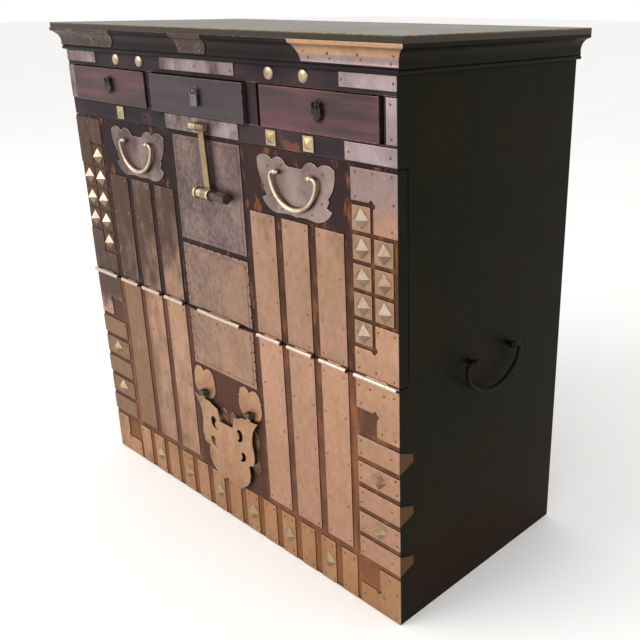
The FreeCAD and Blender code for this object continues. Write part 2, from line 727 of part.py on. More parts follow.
# Base straps, studs on some of them, and L-shaped corner plates
BASE_REACH = 6
STUDDED = (-5, -3, -1, 1, 3, 5)
BASE_PITCH = f"(({CORNER_IN} - base_end_gap - base_strap_width / 2) / {BASE_REACH})"
base_straps = []
for i in range(-BASE_REACH, BASE_REACH + 1):
    base_straps.append(front_plate(
        f"{i} * {BASE_PITCH} - base_strap_width / 2", "floor_gap", "base_strap_width", "base_zone - floor_gap"))
    if i in STUDDED:
        lower_studs.append(pyramid(
            f"{i} * {BASE_PITCH}", ON_BRASS, "(base_zone + floor_gap) / 2", DIAMOND, *LOW_STUD))
node("base_straps", *base_straps)
node("lower_studs", *lower_studs)
base_corners = []
for side in (-1, 1):
    low, length = span(side, CORNER_IN, HALF)
    step_low, step_length = span(side, CORNER_STEP, HALF)
    corner = fuse([
        front_plate(low, "floor_gap", length, "base_corner_foot - floor_gap"),
        front_plate(step_low, "base_corner_foot", step_length, "base_zone - base_corner_foot")])
    base_corners.append(notched(corner, side, "base_corner_foot", 1))
node("base_corner_plates", *base_corners)

# Bail handles. A bail runs through the eyes of its two posts, bends down, and swings round in a wide bow.
# Shares of half the bail's width: where a bend begins, where the ends stand inside the posts, and the
# radius of the flanks.
BEND = 0.85
BAIL_END = 0.63
FLANK = 0.55


def bow(half, drop):
    """The line of a bail: straight ends, a quarter bend, a flank and one arc round the bottom, all tangent."""
    a = getattr(sheet, half)
    b = getattr(sheet, drop)
    bend = a * (1 - BEND)
    flank = a * FLANK
    rise = ((a - flank) ** 2 + bend ** 2 - (b - flank) ** 2) / (2 * (b - flank - bend))
    bottom_centre = FreeCAD.Vector(0, rise, 0)
    flank_centre = FreeCAD.Vector(flank - a, -bend, 0)
    away = (flank_centre - bottom_centre).normalize()
    touch = bottom_centre + away * (rise + b)
    bend_middle = FreeCAD.Vector(-BEND * a - bend * 0.5 ** 0.5, bend * 0.5 ** 0.5 - bend, 0)
    flank_middle = flank_centre + (away + FreeCAD.Vector(-1, 0, 0)).normalize() * flank
    left = [
        FreeCAD.Vector(-BAIL_END * a, 0, 0), FreeCAD.Vector(-BEND * a, 0, 0), bend_middle,
        FreeCAD.Vector(-a, -bend, 0), flank_middle, touch,
    ]
    right = [FreeCAD.Vector(-point.x, point.y, 0) for point in left]
    sketch = turned("Sketcher::SketchObject", OUTWARD)
    sketch.addGeometry([
        Part.LineSegment(left[0], left[1]), Part.Arc(left[1], left[2], left[3]),
        Part.Arc(left[3], left[4], left[5]), Part.Arc(left[5], FreeCAD.Vector(0, -b, 0), right[5]),
        Part.Arc(right[5], right[4], right[3]), Part.Arc(right[3], right[2], right[1]),
        Part.LineSegment(right[1], right[0]),
    ], False)
    foot = sketch.addGeometry(Part.Point(FreeCAD.Vector(0, -b, 0)), True)
    rule = Sketcher.Constraint
    sketch.addConstraint([
        rule("Tangent", 0, 2, 1, 1), rule("Tangent", 1, 2, 2, 1), rule("Tangent", 2, 2, 3, 1),
        rule("Tangent", 3, 2, 4, 1), rule("Tangent", 4, 2, 5, 1), rule("Tangent", 5, 2, 6, 1),
        rule("PointOnObject", 0, 1, -1), rule("PointOnObject", 0, 2, -1),
        rule("PointOnObject", 6, 1, -1), rule("PointOnObject", 6, 2, -1),
        rule("PointOnObject", 3, 3, -2), rule("PointOnObject", foot, 1, -2), rule("PointOnObject", foot, 1, 3),
    ])
    lengths = (
        ("DistanceX", (-1, 1, 0, 1), f"-{BAIL_END} * {half}", -BAIL_END * a),
        ("DistanceX", (-1, 1, 0, 2), f"-{BEND} * {half}", -BEND * a),
        ("DistanceX", (-1, 1, 6, 2), f"{BAIL_END} * {half}", BAIL_END * a),
        ("DistanceX", (-1, 1, 6, 1), f"{BEND} * {half}", BEND * a),
        ("DistanceX", (-1, 1, 1, 2), f"-{half}", -a),
        ("DistanceX", (-1, 1, 5, 1), half, a),
        ("DistanceY", (-1, 1, 1, 2), f"({BEND} - 1) * {half}", -bend),
        ("DistanceY", (-1, 1, 5, 1), f"({BEND} - 1) * {half}", -bend),
        ("DistanceY", (-1, 1, foot, 1), f"-{drop}", -b),
        ("Radius", (2,), f"{FLANK} * {half}", flank),
    )
    for kind, ends, formula, value in lengths:
        index = sketch.addConstraint(rule(kind, *ends, value))
        sketch.setExpression(f"Constraints[{index}]", in_sheet(formula))
    return sketch


def bail(half, drop, radius, rotation, x, y, z):
    """A round bar swept along the bow, about the line through the eyes."""
    spine = bow(half, drop)
    section = bind(turned("Part::Circle", ALONG_X), x=f"-{BAIL_END} * {half}", Radius=radius)
    sweep = doc.addObject("Part::Sweep", "bail")
    sweep.Sections = [section]
    sweep.Spine = (spine, [f"Edge{i}" for i in range(1, 8)])
    sweep.Solid = True
    sweep.Transition = "Transformed"
    sweep.Placement = FreeCAD.Placement(FreeCAD.Vector(), rotation)
    return bind(sweep, x=x, y=y, z=z)


def posts(half, radius, ball, stem, length, rotation, x, y, z):
    """Two eye posts just inside the bends of a bail, with stems back to the wall."""
    pair = []
    for side in (-1, 1):
        middle = f"{side} * ({BEND} * {half} - {ball} - running_gap)"
        knob = bind(turned("Part::Sphere"), x=middle, Radius=ball)
        shank = bind(turned("Part::Cylinder", INWARD), x=middle, Radius=stem, Height=length)
        bore = rod(f"{middle} - 2 * {ball}", 0, 0, f"{radius} + pin_play", f"4 * {ball}")
        pair.append(cut(fuse([knob, shank]), bore))
    both = group(pair)
    both.Placement = FreeCAD.Placement(FreeCAD.Vector(), rotation)
    return bind(both, x=x, y=y, z=z)


# Butterfly plates behind the flap's handles: shares of the plate's width and height, from the middle of its
# foot
BUTTERFLY = whole([
    (0, 0.857), (0.087, 0.857), (0.115, 0.89), (0.208, 0.995, 0.295, 0.923), (0.404, 0.999, 0.497, 0.929),
    (0.481, 0.665, 0.41, 0.445), (0.426, 0.4), (0.388, 0.291), (0.4535, 0.231), (0.361, 0.06, 0.24, 0.005),
    (0.12, 0.03, 0, 0.01),
])
HANDLE_X = f"({STRAP_LOWS[1]} + strap_width / 2)"
HANDLE_Y = f"({FRONT} - post_reach)"
HANDLE_Z = f"({FLAP_TOP} - handle_drop)"
UNTURNED = FreeCAD.Rotation()
handle_plates = []
handle_posts = []
for side, label in ((-1, "flap_handle_left"), (1, "flap_handle_right")):
    x = f"({side} * {HANDLE_X} + handle_shift)"
    handle_plates.append(ornament(
        [BUTTERFLY], "handle_plate_width", "handle_plate_height",
        x, f"{FLAP_TOP} - handle_plate_head - handle_plate_height"))
    handle_posts.append(posts(
        "bail_half", "bail_rod", "post_ball", "post_stem", "post_reach - sheet_brass",
        UNTURNED, x, HANDLE_Y, HANDLE_Z))
    node(label, bail("bail_half", "bail_drop", "bail_rod", UNTURNED, x, HANDLE_Y, HANDLE_Z))
node("handle_plates", *handle_plates)
node("handle_posts", *handle_posts)

# Iron bails on the two sides of the chest
side_posts = []
for side, label in ((-1, "side_handle_left"), (1, "side_handle_right")):
    turn = FreeCAD.Rotation(FreeCAD.Vector(0, 0, 1), 90 * side)
    x = f"{side} * ({HALF} + side_post_reach)"
    side_posts.append(posts(
        "side_bail_half", "side_bail_rod", "side_post_ball", "side_post_stem", "side_post_reach",
        turn, x, 0, "side_handle_z"))
    node(label, bail("side_bail_half", "side_bail_drop", "side_bail_rod", turn, x, 0, "side_handle_z"))
node("side_handle_posts", *side_posts)

# Hasp eye on the drawer rail: a beaded knuckle on a foot, and a pin with a round head to the right of the hasp
HASP_LEFT = "(hasp_offset - hasp_width / 2)"
HASP_RIGHT = "(hasp_offset + hasp_width / 2)"
HOOK_BORE = "(hasp_pin_radius + hook_clear)"
HOOK_RADIUS = f"({HOOK_BORE} + hook_wall)"
EYE_Y = f"({FRONT} - hasp_reach)"
KNUCKLE_LOW = f"({HASP_LEFT} - hasp_lean - hasp_gap - knuckle_length)"
HEAD_LOW = f"({HASP_RIGHT} - hasp_lean + hasp_gap)"
eye_pieces = [
    rod(KNUCKLE_LOW, EYE_Y, RAIL_MIDDLE, "hasp_pin_radius", f"{HEAD_LOW} + pin_head_width - {KNUCKLE_LOW}"),
    rod(KNUCKLE_LOW, EYE_Y, RAIL_MIDDLE, HOOK_RADIUS, "knuckle_length"),
    rod(HEAD_LOW, EYE_Y, RAIL_MIDDLE, "pin_head_radius", "pin_head_width"),
    box(KNUCKLE_LOW, EYE_Y, f"{RAIL_MIDDLE} - knuckle_foot / 2",
        "knuckle_length", "hasp_reach - sheet_brass", "knuckle_foot"),
]
BEADS = 3
BEAD_PITCH = f"((knuckle_length - bead_width) / {BEADS - 1})"
for i in range(BEADS):
    eye_pieces.append(rod(
        f"{KNUCKLE_LOW} + {i} * {BEAD_PITCH}", EYE_Y, RAIL_MIDDLE, f"{HOOK_RADIUS} + knuckle_bead",
        "bead_width"))
node("hasp_eye", fuse(eye_pieces))

# Lock barrel on the lock plate: a bored barrel in two collars that stand on feet. The hasp turns beside the
# right collar.
LOCK_Y = f"({FRONT} - lock_reach)"
LOCK_Z = f"({FLAP_TOP} - lock_drop)"
LOCK_HIGH = f"({HASP_RIGHT} + collar_width)"
LOCK_LOW = f"({LOCK_HIGH} - lock_barrel_length)"
lock_pieces = [rod(LOCK_LOW, LOCK_Y, LOCK_Z, "lock_barrel_radius", "lock_barrel_length")]
for low in (LOCK_LOW, HASP_RIGHT):
    lock_pieces.append(rod(low, LOCK_Y, LOCK_Z, "collar_radius", "collar_width"))
    lock_pieces.append(box(
        low, LOCK_Y, f"{LOCK_Z} - collar_foot / 2", "collar_width", "lock_reach - sheet_brass", "collar_foot"))
lock_bore = rod(
    f"{LOCK_LOW} - 1", LOCK_Y, LOCK_Z, "bolt_rod_radius + pin_play", "lock_barrel_length + 2")
node("lock_barrel", cut(fuse(lock_pieces), lock_bore))

# Lock bolt: a round rod in the barrel, and outside its right end a round neck and a six-sided iron head
NECK_LOW = f"({LOCK_HIGH} + running_gap)"
head = bind(
    turned("Part::Prism", ALONG_X), x=f"{NECK_LOW} + bolt_neck_length", y=LOCK_Y, z=LOCK_Z,
    Circumradius="bolt_head_radius", Height="bolt_head_length")
head.Polygon = 6
neck = rod(NECK_LOW, LOCK_Y, LOCK_Z, "bolt_neck_radius", "bolt_neck_length")
shank = rod(
    f"{LOCK_LOW} + bolt_inset", LOCK_Y, LOCK_Z, "bolt_rod_radius",
    "lock_barrel_length - bolt_inset + running_gap + bolt_neck_length + bolt_head_length / 2")
node("lock_bolt", fuse([head, neck, shank]))

# Hasp: an eye that turns on the lock barrel, a flat leaning strap, and a half-round hook open at the back,
# which lies in front of the hasp eye's pin and lifts off it with the flap
STRAP_LOW = f"({LOCK_Z} + lock_barrel_radius + hook_clear)"
STRAP_HIGH = f"({RAIL_MIDDLE} - {HOOK_BORE} - hook_clear)"
HASP_LOW = f"({HASP_LEFT} + running_gap)"
HASP_LENGTH = "(hasp_width - 2 * running_gap)"
hook = bind(
    turned("Part::Cylinder", HALF_TURN.multiply(ALONG_X)), x=f"{HASP_LOW} - hasp_lean", y=EYE_Y, z=RAIL_MIDDLE,
    Radius=HOOK_RADIUS, Height=HASP_LENGTH)
hook.Angle = 180
hasp_strap = wedge(
    OUTWARD, x=HASP_LOW, y=f"{LOCK_Y} + hasp_set_back", z=STRAP_LOW, Ymin=0, Ymax=f"{STRAP_HIGH} - {STRAP_LOW}",
    Xmin=0, X2min="-hasp_lean", Xmax=HASP_LENGTH, X2max=f"{HASP_LENGTH} - hasp_lean",
    Zmin="-hasp_thickness / 2", Z2min="-hasp_thickness / 2",
    Zmax="hasp_thickness / 2", Z2max="hasp_thickness / 2")
hasp_ring = rod(HASP_LOW, LOCK_Y, LOCK_Z, "collar_radius", HASP_LENGTH)
hasp_bores = fuse([
    rod(f"{HASP_LOW} - 1", LOCK_Y, LOCK_Z, "lock_barrel_radius + pin_play", f"{HASP_LENGTH} + 2"),
    rod(f"{HASP_LOW} - hasp_lean - 1", EYE_Y, RAIL_MIDDLE, HOOK_BORE, f"{HASP_LENGTH} + 2")])
node("hasp", cut(fuse([hasp_ring, hasp_strap, hook]), hasp_bores))

# Drop plate: back plates on the front, iron eyes on its ears, and the plate that swings in them.
# Shares of each plate's own width and height, from the middle of its foot.
EAR = whole([
    (0, 0.86), (0.24, 1, 0.42, 0.86), (0.45, 0.72), (0.5, 0.68), (0.455, 0.62), (0.49, 0.42, 0.4, 0.15),
    (0.22, 0.02, 0, 0),
])
BACK_PLATE = whole([
    (0, 0.865), (0.064, 1, 0.138, 0.885), (0.32, 0.904), (0.425, 0.865), (0.489, 0.7, 0.457, 0.46),
    (0.463, 0.25, 0.5, 0.077), (0.447, 0), (0, 0),
])
DROP_PLATE = whole([
    (0, 0.738), (0.1, 0.738), (0.13, 0.88), (0.225, 0.91), (0.25, 0.93), (0.46, 0.945), (0.5, 0.955),
    (0.435, 0.86), (0.4, 0.76, 0.4, 0.616), (0.412, 0.494, 0.39, 0.395), (0.31, 0.355),
    (0.315, 0.17, 0.22, 0.047), (0.17, 0.004, 0.08, 0.017), (0.04, 0.035, 0, 0.02),
])
UPPER_COMMA = [
    (0.15, 0.612), (0.235, 0.635, 0.252, 0.715), (0.215, 0.765, 0.165, 0.72), (0.192, 0.668, 0.15, 0.612)]
LOWER_COMMA = [
    (0.168, 0.374), (0.245, 0.382, 0.285, 0.452), (0.252, 0.498, 0.21, 0.458), (0.216, 0.415, 0.168, 0.374)]


def mirrored(outline):
    """An outline turned over to the other side."""
    return [tuple(-value if place % 2 == 0 else value for place, value in enumerate(step)) for step in outline]


DROP_Y = f"({FRONT} - drop_reach)"
EYE_X = "(eye_spacing / 2)"
node(
    "drop_back_plates",
    ornament(
        [BACK_PLATE], "back_plate_width", "back_plate_height", 0, f"{DROP_Z} - back_plate_drop"),
    *[ornament([EAR], "ear_width", "ear_height", f"{side} * {EYE_X}", f"{DROP_Z} - ear_drop")
      for side in (-1, 1)])
drop_pieces = [ornament(
    [DROP_PLATE, UPPER_COMMA, mirrored(UPPER_COMMA), LOWER_COMMA, mirrored(LOWER_COMMA)],
    "drop_width", "drop_height", 0, "base_zone + drop_foot",
    y=f"{DROP_Y} + drop_sheet / 2", thickness="drop_sheet")]
eye_bores = []
eyes = []
LUG_IN = "(eye_ring_length / 2 + running_gap)"
for side in (-1, 1):
    ring_low = f"({side} * {EYE_X} - eye_ring_length / 2)"
    drop_pieces.append(rod(ring_low, DROP_Y, DROP_Z, "eye_ring_radius", "eye_ring_length"))
    drop_pieces.append(box(
        ring_low, f"{DROP_Y} - drop_sheet / 2", f"{DROP_Z} - eye_neck", "eye_ring_length", "drop_sheet",
        "eye_neck"))
    eye_bores.append(rod(
        f"{ring_low} - 1", DROP_Y, DROP_Z, "eye_pin_radius + pin_play", "eye_ring_length + 2"))
    eye = [rod(
        f"{side} * {EYE_X} - {LUG_IN} - eye_lug", DROP_Y, DROP_Z, "eye_pin_radius",
        f"2 * ({LUG_IN} + eye_lug)")]
    for lug in (-1, 1):
        low, length = span(lug, LUG_IN, f"({LUG_IN} + eye_lug)")
        eye.append(box(
            f"{side} * {EYE_X} + {low}", f"{DROP_Y} - eye_lug_radius", f"{DROP_Z} - eye_lug_radius",
            length, "drop_reach + eye_lug_radius - sheet_brass", "2 * eye_lug_radius"))
    eyes.append(fuse(eye))
node("drop_plate", cut(fuse(drop_pieces), fuse(eye_bores)))
node("drop_eyes", *eyes)

# Drawers with their pulls. As photographed they stand a little proud of the frame.
DRAWER_Z = f"({RAIL_TOP} + running_gap)"
FRONT_HEIGHT = "(drawer_opening - running_gap - drawer_head_gap)"
DRAWER_LENGTH = "(body_depth - back_board - drawer_back_gap)"
PULL_Z = f"({DRAWER_Z} + {FRONT_HEIGHT} / 2 + pull_rise)"
LOZENGE = ("pull_spread", "pull_tip_width")
TAG = ("pull_width", "pull_width")
DRAWERS = (
    ("left", f"(-{INNER_HALF})", STILE_LOWS[1], "drawer_clear", "left_proud", LOZENGE),
    ("centre", f"({STILE_LOWS[1]} + stile_width)", STILE_LOWS[2], "drawer_clear", "centre_proud", TAG),
    ("right", f"({STILE_LOWS[2]} + stile_width)", INNER_HALF, "right_drawer_clear", "right_proud", LOZENGE),
)
for name, low, high, clear, proud, (spread, tip) in DRAWERS:
    x = f"({low} + {clear})"
    width = f"({high} - {low} - 2 * {clear})"
    face = f"({FRONT} - {proud})"
    behind = f"({face} + drawer_front)"
    depth = f"({DRAWER_LENGTH} - drawer_front)"
    inner_width = f"({width} - 2 * drawer_side)"
    wall = f"({FRONT_HEIGHT} - side_drop)"
    node(f"drawer_{name}_front", box(x, face, DRAWER_Z, width, "drawer_front", FRONT_HEIGHT))
    node(
        f"drawer_{name}_box",
        box(x, behind, DRAWER_Z, "drawer_side", depth, wall),
        box(f"{x} + {width} - drawer_side", behind, DRAWER_Z, "drawer_side", depth, wall),
        box(f"{x} + drawer_side", f"{behind} + {depth} - drawer_side", DRAWER_Z,
            inner_width, "drawer_side", wall),
        box(f"{x} + drawer_side", behind, DRAWER_Z, inner_width, f"{depth} - drawer_side", "drawer_base"))

    middle = f"({x} + {width} / 2 + pull_offset)"
    axis = f"({face} - pull_reach)"
    rose = bind(
        turned("Part::Cylinder", OUTWARD), x=middle, y=face, z=PULL_Z,
        Radius="pull_plate_radius", Height="pull_plate_sheet")
    post = bind(
        turned("Part::Cylinder", OUTWARD), x=middle, y=face, z=PULL_Z,
        Radius="pull_post_radius", Height="pull_reach + pull_post_end")
    pin = rod(
        f"{middle} - pull_width / 2 - pull_pin_end", axis, PULL_Z, "pull_pin_radius",
        "pull_width + 2 * pull_pin_end")
    node(f"pull_post_{name}", fuse([rose, post, pin]))

    drop = []
    half_drop = "((pull_length - pull_neck) / 2)"
    for top, wide, narrow in (
        (f"{PULL_Z} - pull_neck", "pull_width", spread),
        (f"{PULL_Z} - pull_neck - {half_drop}", spread, tip),
    ):
        drop.append(wedge(
            INWARD, x=middle, y=axis, z=top, Ymin=0, Ymax=half_drop,
            Xmin=f"-{wide} / 2", Xmax=f"{wide} / 2", X2min=f"-{narrow} / 2", X2max=f"{narrow} / 2",
            Zmin="-pull_sheet / 2", Z2min="-pull_sheet / 2", Zmax="pull_sheet / 2", Z2max="pull_sheet / 2"))
    for side in (-1, 1):
        ear, length = span(side, "(pull_width / 2 - pull_ear)", "(pull_width / 2)")
        drop.append(rod(f"{middle} + {ear}", axis, PULL_Z, "pull_pin_radius + pull_wall", length))
        drop.append(box(
            f"{middle} + {ear}", f"{axis} - pull_sheet / 2", f"{PULL_Z} - pull_neck",
            length, "pull_sheet", "pull_neck"))
    pull_bore = rod(f"{middle} - pull_width", axis, PULL_Z, "pull_pin_radius + pin_play", "2 * pull_width")
    node(f"pull_drop_{name}", cut(fuse(drop), pull_bore))

# Build, look for anything that failed, and write one file for each sub-part
doc.recompute()
failed = [item.Label for item in doc.Objects if {"Invalid", "Error"} & set(item.State)]
if failed:
    raise RuntimeError("not built: " + ", ".join(failed))
for label, item in nodes.items():
    if item.Shape.isNull() or not item.Shape.isValid() or not item.Shape.Solids:
        raise RuntimeError("bad shape: " + label)
os.makedirs("parts", exist_ok=True)
for label, item in nodes.items():
    item.Shape.exportStep(f"parts/{label}.step")
    print(label, len(item.Shape.Solids), round(item.Shape.Volume, 1))
print(len(nodes), "sub-parts")
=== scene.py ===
import json
from math import radians

import bpy
import numpy as np
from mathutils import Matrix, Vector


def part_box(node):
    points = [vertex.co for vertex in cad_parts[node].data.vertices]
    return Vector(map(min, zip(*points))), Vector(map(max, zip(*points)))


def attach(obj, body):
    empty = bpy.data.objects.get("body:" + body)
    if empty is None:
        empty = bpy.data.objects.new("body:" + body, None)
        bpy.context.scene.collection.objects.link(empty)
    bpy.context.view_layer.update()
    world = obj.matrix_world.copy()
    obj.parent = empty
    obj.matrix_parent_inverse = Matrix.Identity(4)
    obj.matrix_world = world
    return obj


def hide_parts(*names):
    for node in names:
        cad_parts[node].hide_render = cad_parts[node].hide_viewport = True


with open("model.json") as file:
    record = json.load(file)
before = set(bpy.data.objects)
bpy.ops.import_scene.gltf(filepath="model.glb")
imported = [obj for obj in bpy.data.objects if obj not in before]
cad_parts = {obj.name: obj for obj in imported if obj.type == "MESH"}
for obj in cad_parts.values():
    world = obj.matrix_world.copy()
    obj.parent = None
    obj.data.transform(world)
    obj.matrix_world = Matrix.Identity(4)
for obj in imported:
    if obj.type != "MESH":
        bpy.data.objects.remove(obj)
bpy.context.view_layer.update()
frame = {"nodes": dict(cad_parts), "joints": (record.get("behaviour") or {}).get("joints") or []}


# Case: two side boards, a back panel and a bottom board of softwood, glued and pegged at the corners.
# The outside carries a lacquer that age has turned green-black; feet and edges are rubbed to brown wood.

class Value:
    """One socket of a material. Arithmetic on it adds Math nodes, and node() adds any other node."""

    def __init__(self, socket):
        self.socket = socket

    def node(self, kind, settings=None, sockets=None, out=0):
        """Add a node of this type: first its settings, then a number or a link for each socket."""
        new = self.socket.id_data.nodes.new("ShaderNode" + kind)
        for key, setting in (settings or {}).items():
            setattr(new, key, setting)
        feed(new, sockets or {})
        return Value(new.outputs[out])

    def math(self, operation, first, second=0.0):
        """A Math node on numbers or links."""
        return self.node("Math", {"operation": operation}, {0: first, 1: second})

    def __add__(self, other):
        return self.math("ADD", self, other)

    def __sub__(self, other):
        return self.math("SUBTRACT", self, other)

    def __rsub__(self, other):
        return self.math("SUBTRACT", other, self)

    def __mul__(self, other):
        return self.math("MULTIPLY", self, other)

    def __truediv__(self, other):
        return self.math("DIVIDE", self, other)

    def __abs__(self):
        return self.math("ABSOLUTE", self)

    __radd__ = __add__
    __rmul__ = __mul__

    def least(self, other):
        """The smaller of the two."""
        return self.math("MINIMUM", self, other)

    def most(self, other):
        """The larger of the two."""
        return self.math("MAXIMUM", self, other)

    def axes(self):
        """The X, Y and Z of a vector."""
        split = self.node("SeparateXYZ", None, {0: self}).socket.node
        return [Value(end) for end in split.outputs]

    def ease(self, start, end):
        """0 up to start and 1 from end on, with an S curve between; start may be the larger."""
        return self.node("MapRange", {"interpolation_type": "SMOOTHSTEP"},
                         {"Value": self, "From Min": start, "From Max": end})

    def blend(self, first, second):
        """The first colour where this mask is 0, and the second where it is 1."""
        return self.node("Mix", {"data_type": "RGBA"}, {0: self, 6: first, 7: second}, out=2)

    def dimmed(self, share):
        """A colour times a share."""
        return self.node("VectorMath", {"operation": "SCALE"}, {0: self, "Scale": share})

    def noise(self, size, detail=3.0, turn=(0.0, 0.0, 0.0)):
        """Cloudy noise around 0.5. Its features have this size in metres along each axis, and are turned by
        these angles."""
        placed = self.node("Mapping", {"vector_type": "TEXTURE"},
                           {"Vector": self, "Rotation": turn, "Scale": size})
        return self.node("TexNoise", None, {"Vector": placed, "Scale": 1.0, "Detail": detail})

    def bump(self, depth, normal=None):
        """The normal of a surface whose height is this value times a depth in metres."""
        sockets = {"Height": self, "Distance": depth}
        if normal:
            sockets["Normal"] = normal
        return self.node("Bump", None, sockets)


def feed(node, sockets):
    """Set sockets of a node: a link for a Value, and otherwise the number itself."""
    for key, value in sockets.items():
        if isinstance(value, Value):
            node.id_data.links.new(value.socket, node.inputs[key])
        else:
            node.inputs[key].default_value = value


def finish(name):
    """A new material, its shader and the object coordinates of what wears it."""
    material = bpy.data.materials.new(name)
    material.use_nodes = True
    tree = material.node_tree
    place = tree.nodes.new("ShaderNodeTexCoord").outputs["Object"]
    return material, tree.nodes["Principled BSDF"], Value(place)


def dress(material, *names):
    """Give CAD nodes this material."""
    for name in names:
        mesh = frame["nodes"][name].data
        mesh.materials.clear()
        mesh.materials.append(material)


def tint(red, green, blue):
    """A colour as it looks on a screen, 0 to 255, in the light values that a shader takes."""
    screen = np.array([red, green, blue]) / 255
    light = np.where(screen > 0.04045, ((screen + 0.055) / 1.055) ** 2.4, screen / 12.92)
    return (*light.tolist(), 1.0)


def to_edge(place, low, high):
    """Distance from the nearest edge of a box: of the distances to its faces along X, Y and Z, the second
    least."""
    gaps = [(axis - a).least(b - axis) for axis, a, b in zip(place.axes(), low, high)]
    pairs = [one.most(two) for one, two in zip(gaps, gaps[1:] + gaps[:1])]
    return pairs[0].least(pairs[1]).least(pairs[2])


# Near-black for soot and for painted shade, beside close pieces and in holes.
SOOT_AND_SHADE = tint(26, 18, 15)


def dirt_and_painted_shade(place, colour, reach, share, soot_and_shade):
    """Soot, and painted shade, where other pieces stand close, as the share of open sky within this reach
    tells.
    """
    open_sky = place.node("AmbientOcclusion", {"samples": 6}, {"Distance": reach}, out=1)
    return (open_sky.ease(0.92, 0.45) * share).blend(colour, soot_and_shade)


def lacquer(name, node, along, deep, warm, worn, streaked=0.2, patchy=0.74, rubbed=0.0006, rough=0.5,
            gloss=0.06, patch=None, marks=None, shine=(1.0, 0.86, 0.76, 1.0)):
    """Lacquer on wood. Broad stains and streaks along the grain turn it from deep to warm. Worn wood shows in
    patches where a blotchy noise of the patch size passes the patchy level, and along edges, where the
    distance to the nearest edge of the board, roughened by a finer noise, is under the rubbed width. Then
    come the board's own marks, a function of the place, the colour and the patches' noise, and dirt with
    painted shade beside what stands on it."""
    material, shader, place = finish(name)
    streak, fibre, blotch = [0.016] * 3, [0.0022] * 3, [0.045] * 3
    streak[along], fibre[along], blotch[along] = 0.30, 0.05, 0.07
    streaks = place.noise(streak, 4.0)
    fibres = place.noise(fibre, 2.0)
    stains = place.noise((0.15, 0.15, 0.15), 4.0)
    blotches = place.noise(patch or blotch, 6.0)
    specks = place.noise((0.006, 0.006, 0.006), 4.0)
    warmed = stains.ease(0.38, 0.68) * (1 - streaked) + streaks.ease(0.35, 0.7) * streaked
    bare = (to_edge(place, *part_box(node)) + (specks - 0.4) * (rubbed * 3)).ease(rubbed, rubbed * 0.2)
    thin = (blotches + specks * 0.12 - 0.06).ease(patchy, patchy + 0.12) * 0.75
    colour = thin.most(bare).blend(warmed.blend(deep, warm), worn)
    if marks:
        colour = marks(place, colour, blotches)
    # Dirt and painted shade beside what stands close to the board.
    colour = dirt_and_painted_shade(place, colour, 0.014, 0.8, SOOT_AND_SHADE)
    feed(shader, {
        "Base Color": colour.dimmed(fibres * 0.35 + specks * 0.35 + 0.45),
        "Roughness": stains * 0.2 + bare * 0.15 + (rough - 0.1),
        "Specular IOR Level": gloss,
        "Specular Tint": shine,
        "Normal": (fibres * 0.5 + streaks * 0.4 + specks * 0.3).bump(0.0004),
    })
    return material


SIDE_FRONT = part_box("side_right")[0][1]
SEAM_FOOT, SEAM_HEAD = 0.440, 0.770


def browned_foot_and_gap_shade(place, colour, blotches):
    """Browner wood over the lowest 0.3 m, and thin pale scratches along Z where a narrow noise is near its
    peak. The front edge is painted black as the shade of the gap where the flap shuts against it."""
    x, y, z = place.axes()
    above_hinge = z.ease(SEAM_FOOT - 0.002, SEAM_FOOT + 0.002)
    # Painted shade: the front edge, in the gap beside the shut flap, is near black.
    gap_shade = (y - SIDE_FRONT).ease(0.0030, 0.0018) * above_hinge * z.ease(SEAM_HEAD + 0.001, SEAM_HEAD - 0.002)
    foot = (z + (blotches - 0.5) * 0.2).ease(0.36, 0.04) * 0.85
    scratch = place.noise((0.05, 0.0012, 0.09), 2.0).ease(0.70, 0.76) * 0.3
    browned = foot.blend(colour, tint(35, 23, 14))
    return gap_shade.blend(scratch.blend(browned, tint(62, 58, 44)), tint(3, 3, 3))


ALONG_X, ALONG_Y, ALONG_Z = range(3)
GREEN_BLACK = tint(21, 22, 13)
BROWN_BLACK = tint(31, 26, 15)
OLIVE_SHINE = (0.9, 0.86, 0.55, 1.0)
BARE_PINE = tint(112, 76, 46)
for board in ("side_left", "side_right"):
    dress(lacquer(board + "_lacquer", board, ALONG_Z, GREEN_BLACK, BROWN_BLACK, tint(46, 35, 21),
                  streaked=0.25, patchy=0.72, rubbed=0.0012, rough=0.46, gloss=0.05, marks=browned_foot_and_gap_shade,
                  shine=OLIVE_SHINE), board)
dress(lacquer("back_wood", "back_panel", ALONG_Z, tint(58, 42, 30), tint(86, 62, 42), BARE_PINE, streaked=0.6,
              patchy=0.66, rubbed=0.002, rough=0.65), "back_panel")
dress(lacquer("bottom_wood", "bottom_board", ALONG_X, tint(78, 57, 39), tint(110, 82, 56), BARE_PINE,
              streaked=0.6, patchy=0.6, rubbed=0.003, rough=0.7), "bottom_board")


# Inner boards: a dust board under the drawer row and two partitions in it, planed and left bare.
# They are nailed between the sides, out of sight until the flap or a drawer is open.

def bare_wood(name, along, pale, brown):
    """Planed wood. Year rings are a sine of a noise that is long along the grain, and dust darkens it in
    clouds."""
    material, shader, place = finish(name)
    grain, fibre = [0.05] * 3, [0.0018] * 3
    grain[along], fibre[along] = 0.9, 0.06
    wave = place.noise(grain, 3.0) * 70
    rings = wave.math("SINE", wave) * 0.5 + 0.5
    fibres = place.noise(fibre, 2.0)
    dust = place.noise((0.2, 0.2, 0.2), 4.0)
    colour = (rings * 0.55 + dust * 0.5).blend(pale, brown).dimmed(fibres * 0.4 + 0.58)
    feed(shader, {
        "Base Color": colour,
        "Roughness": 0.62 + rings * 0.1,
        "Specular IOR Level": 0.3,
        "Normal": (fibres + rings * 0.3).bump(0.0004),
    })
    return material


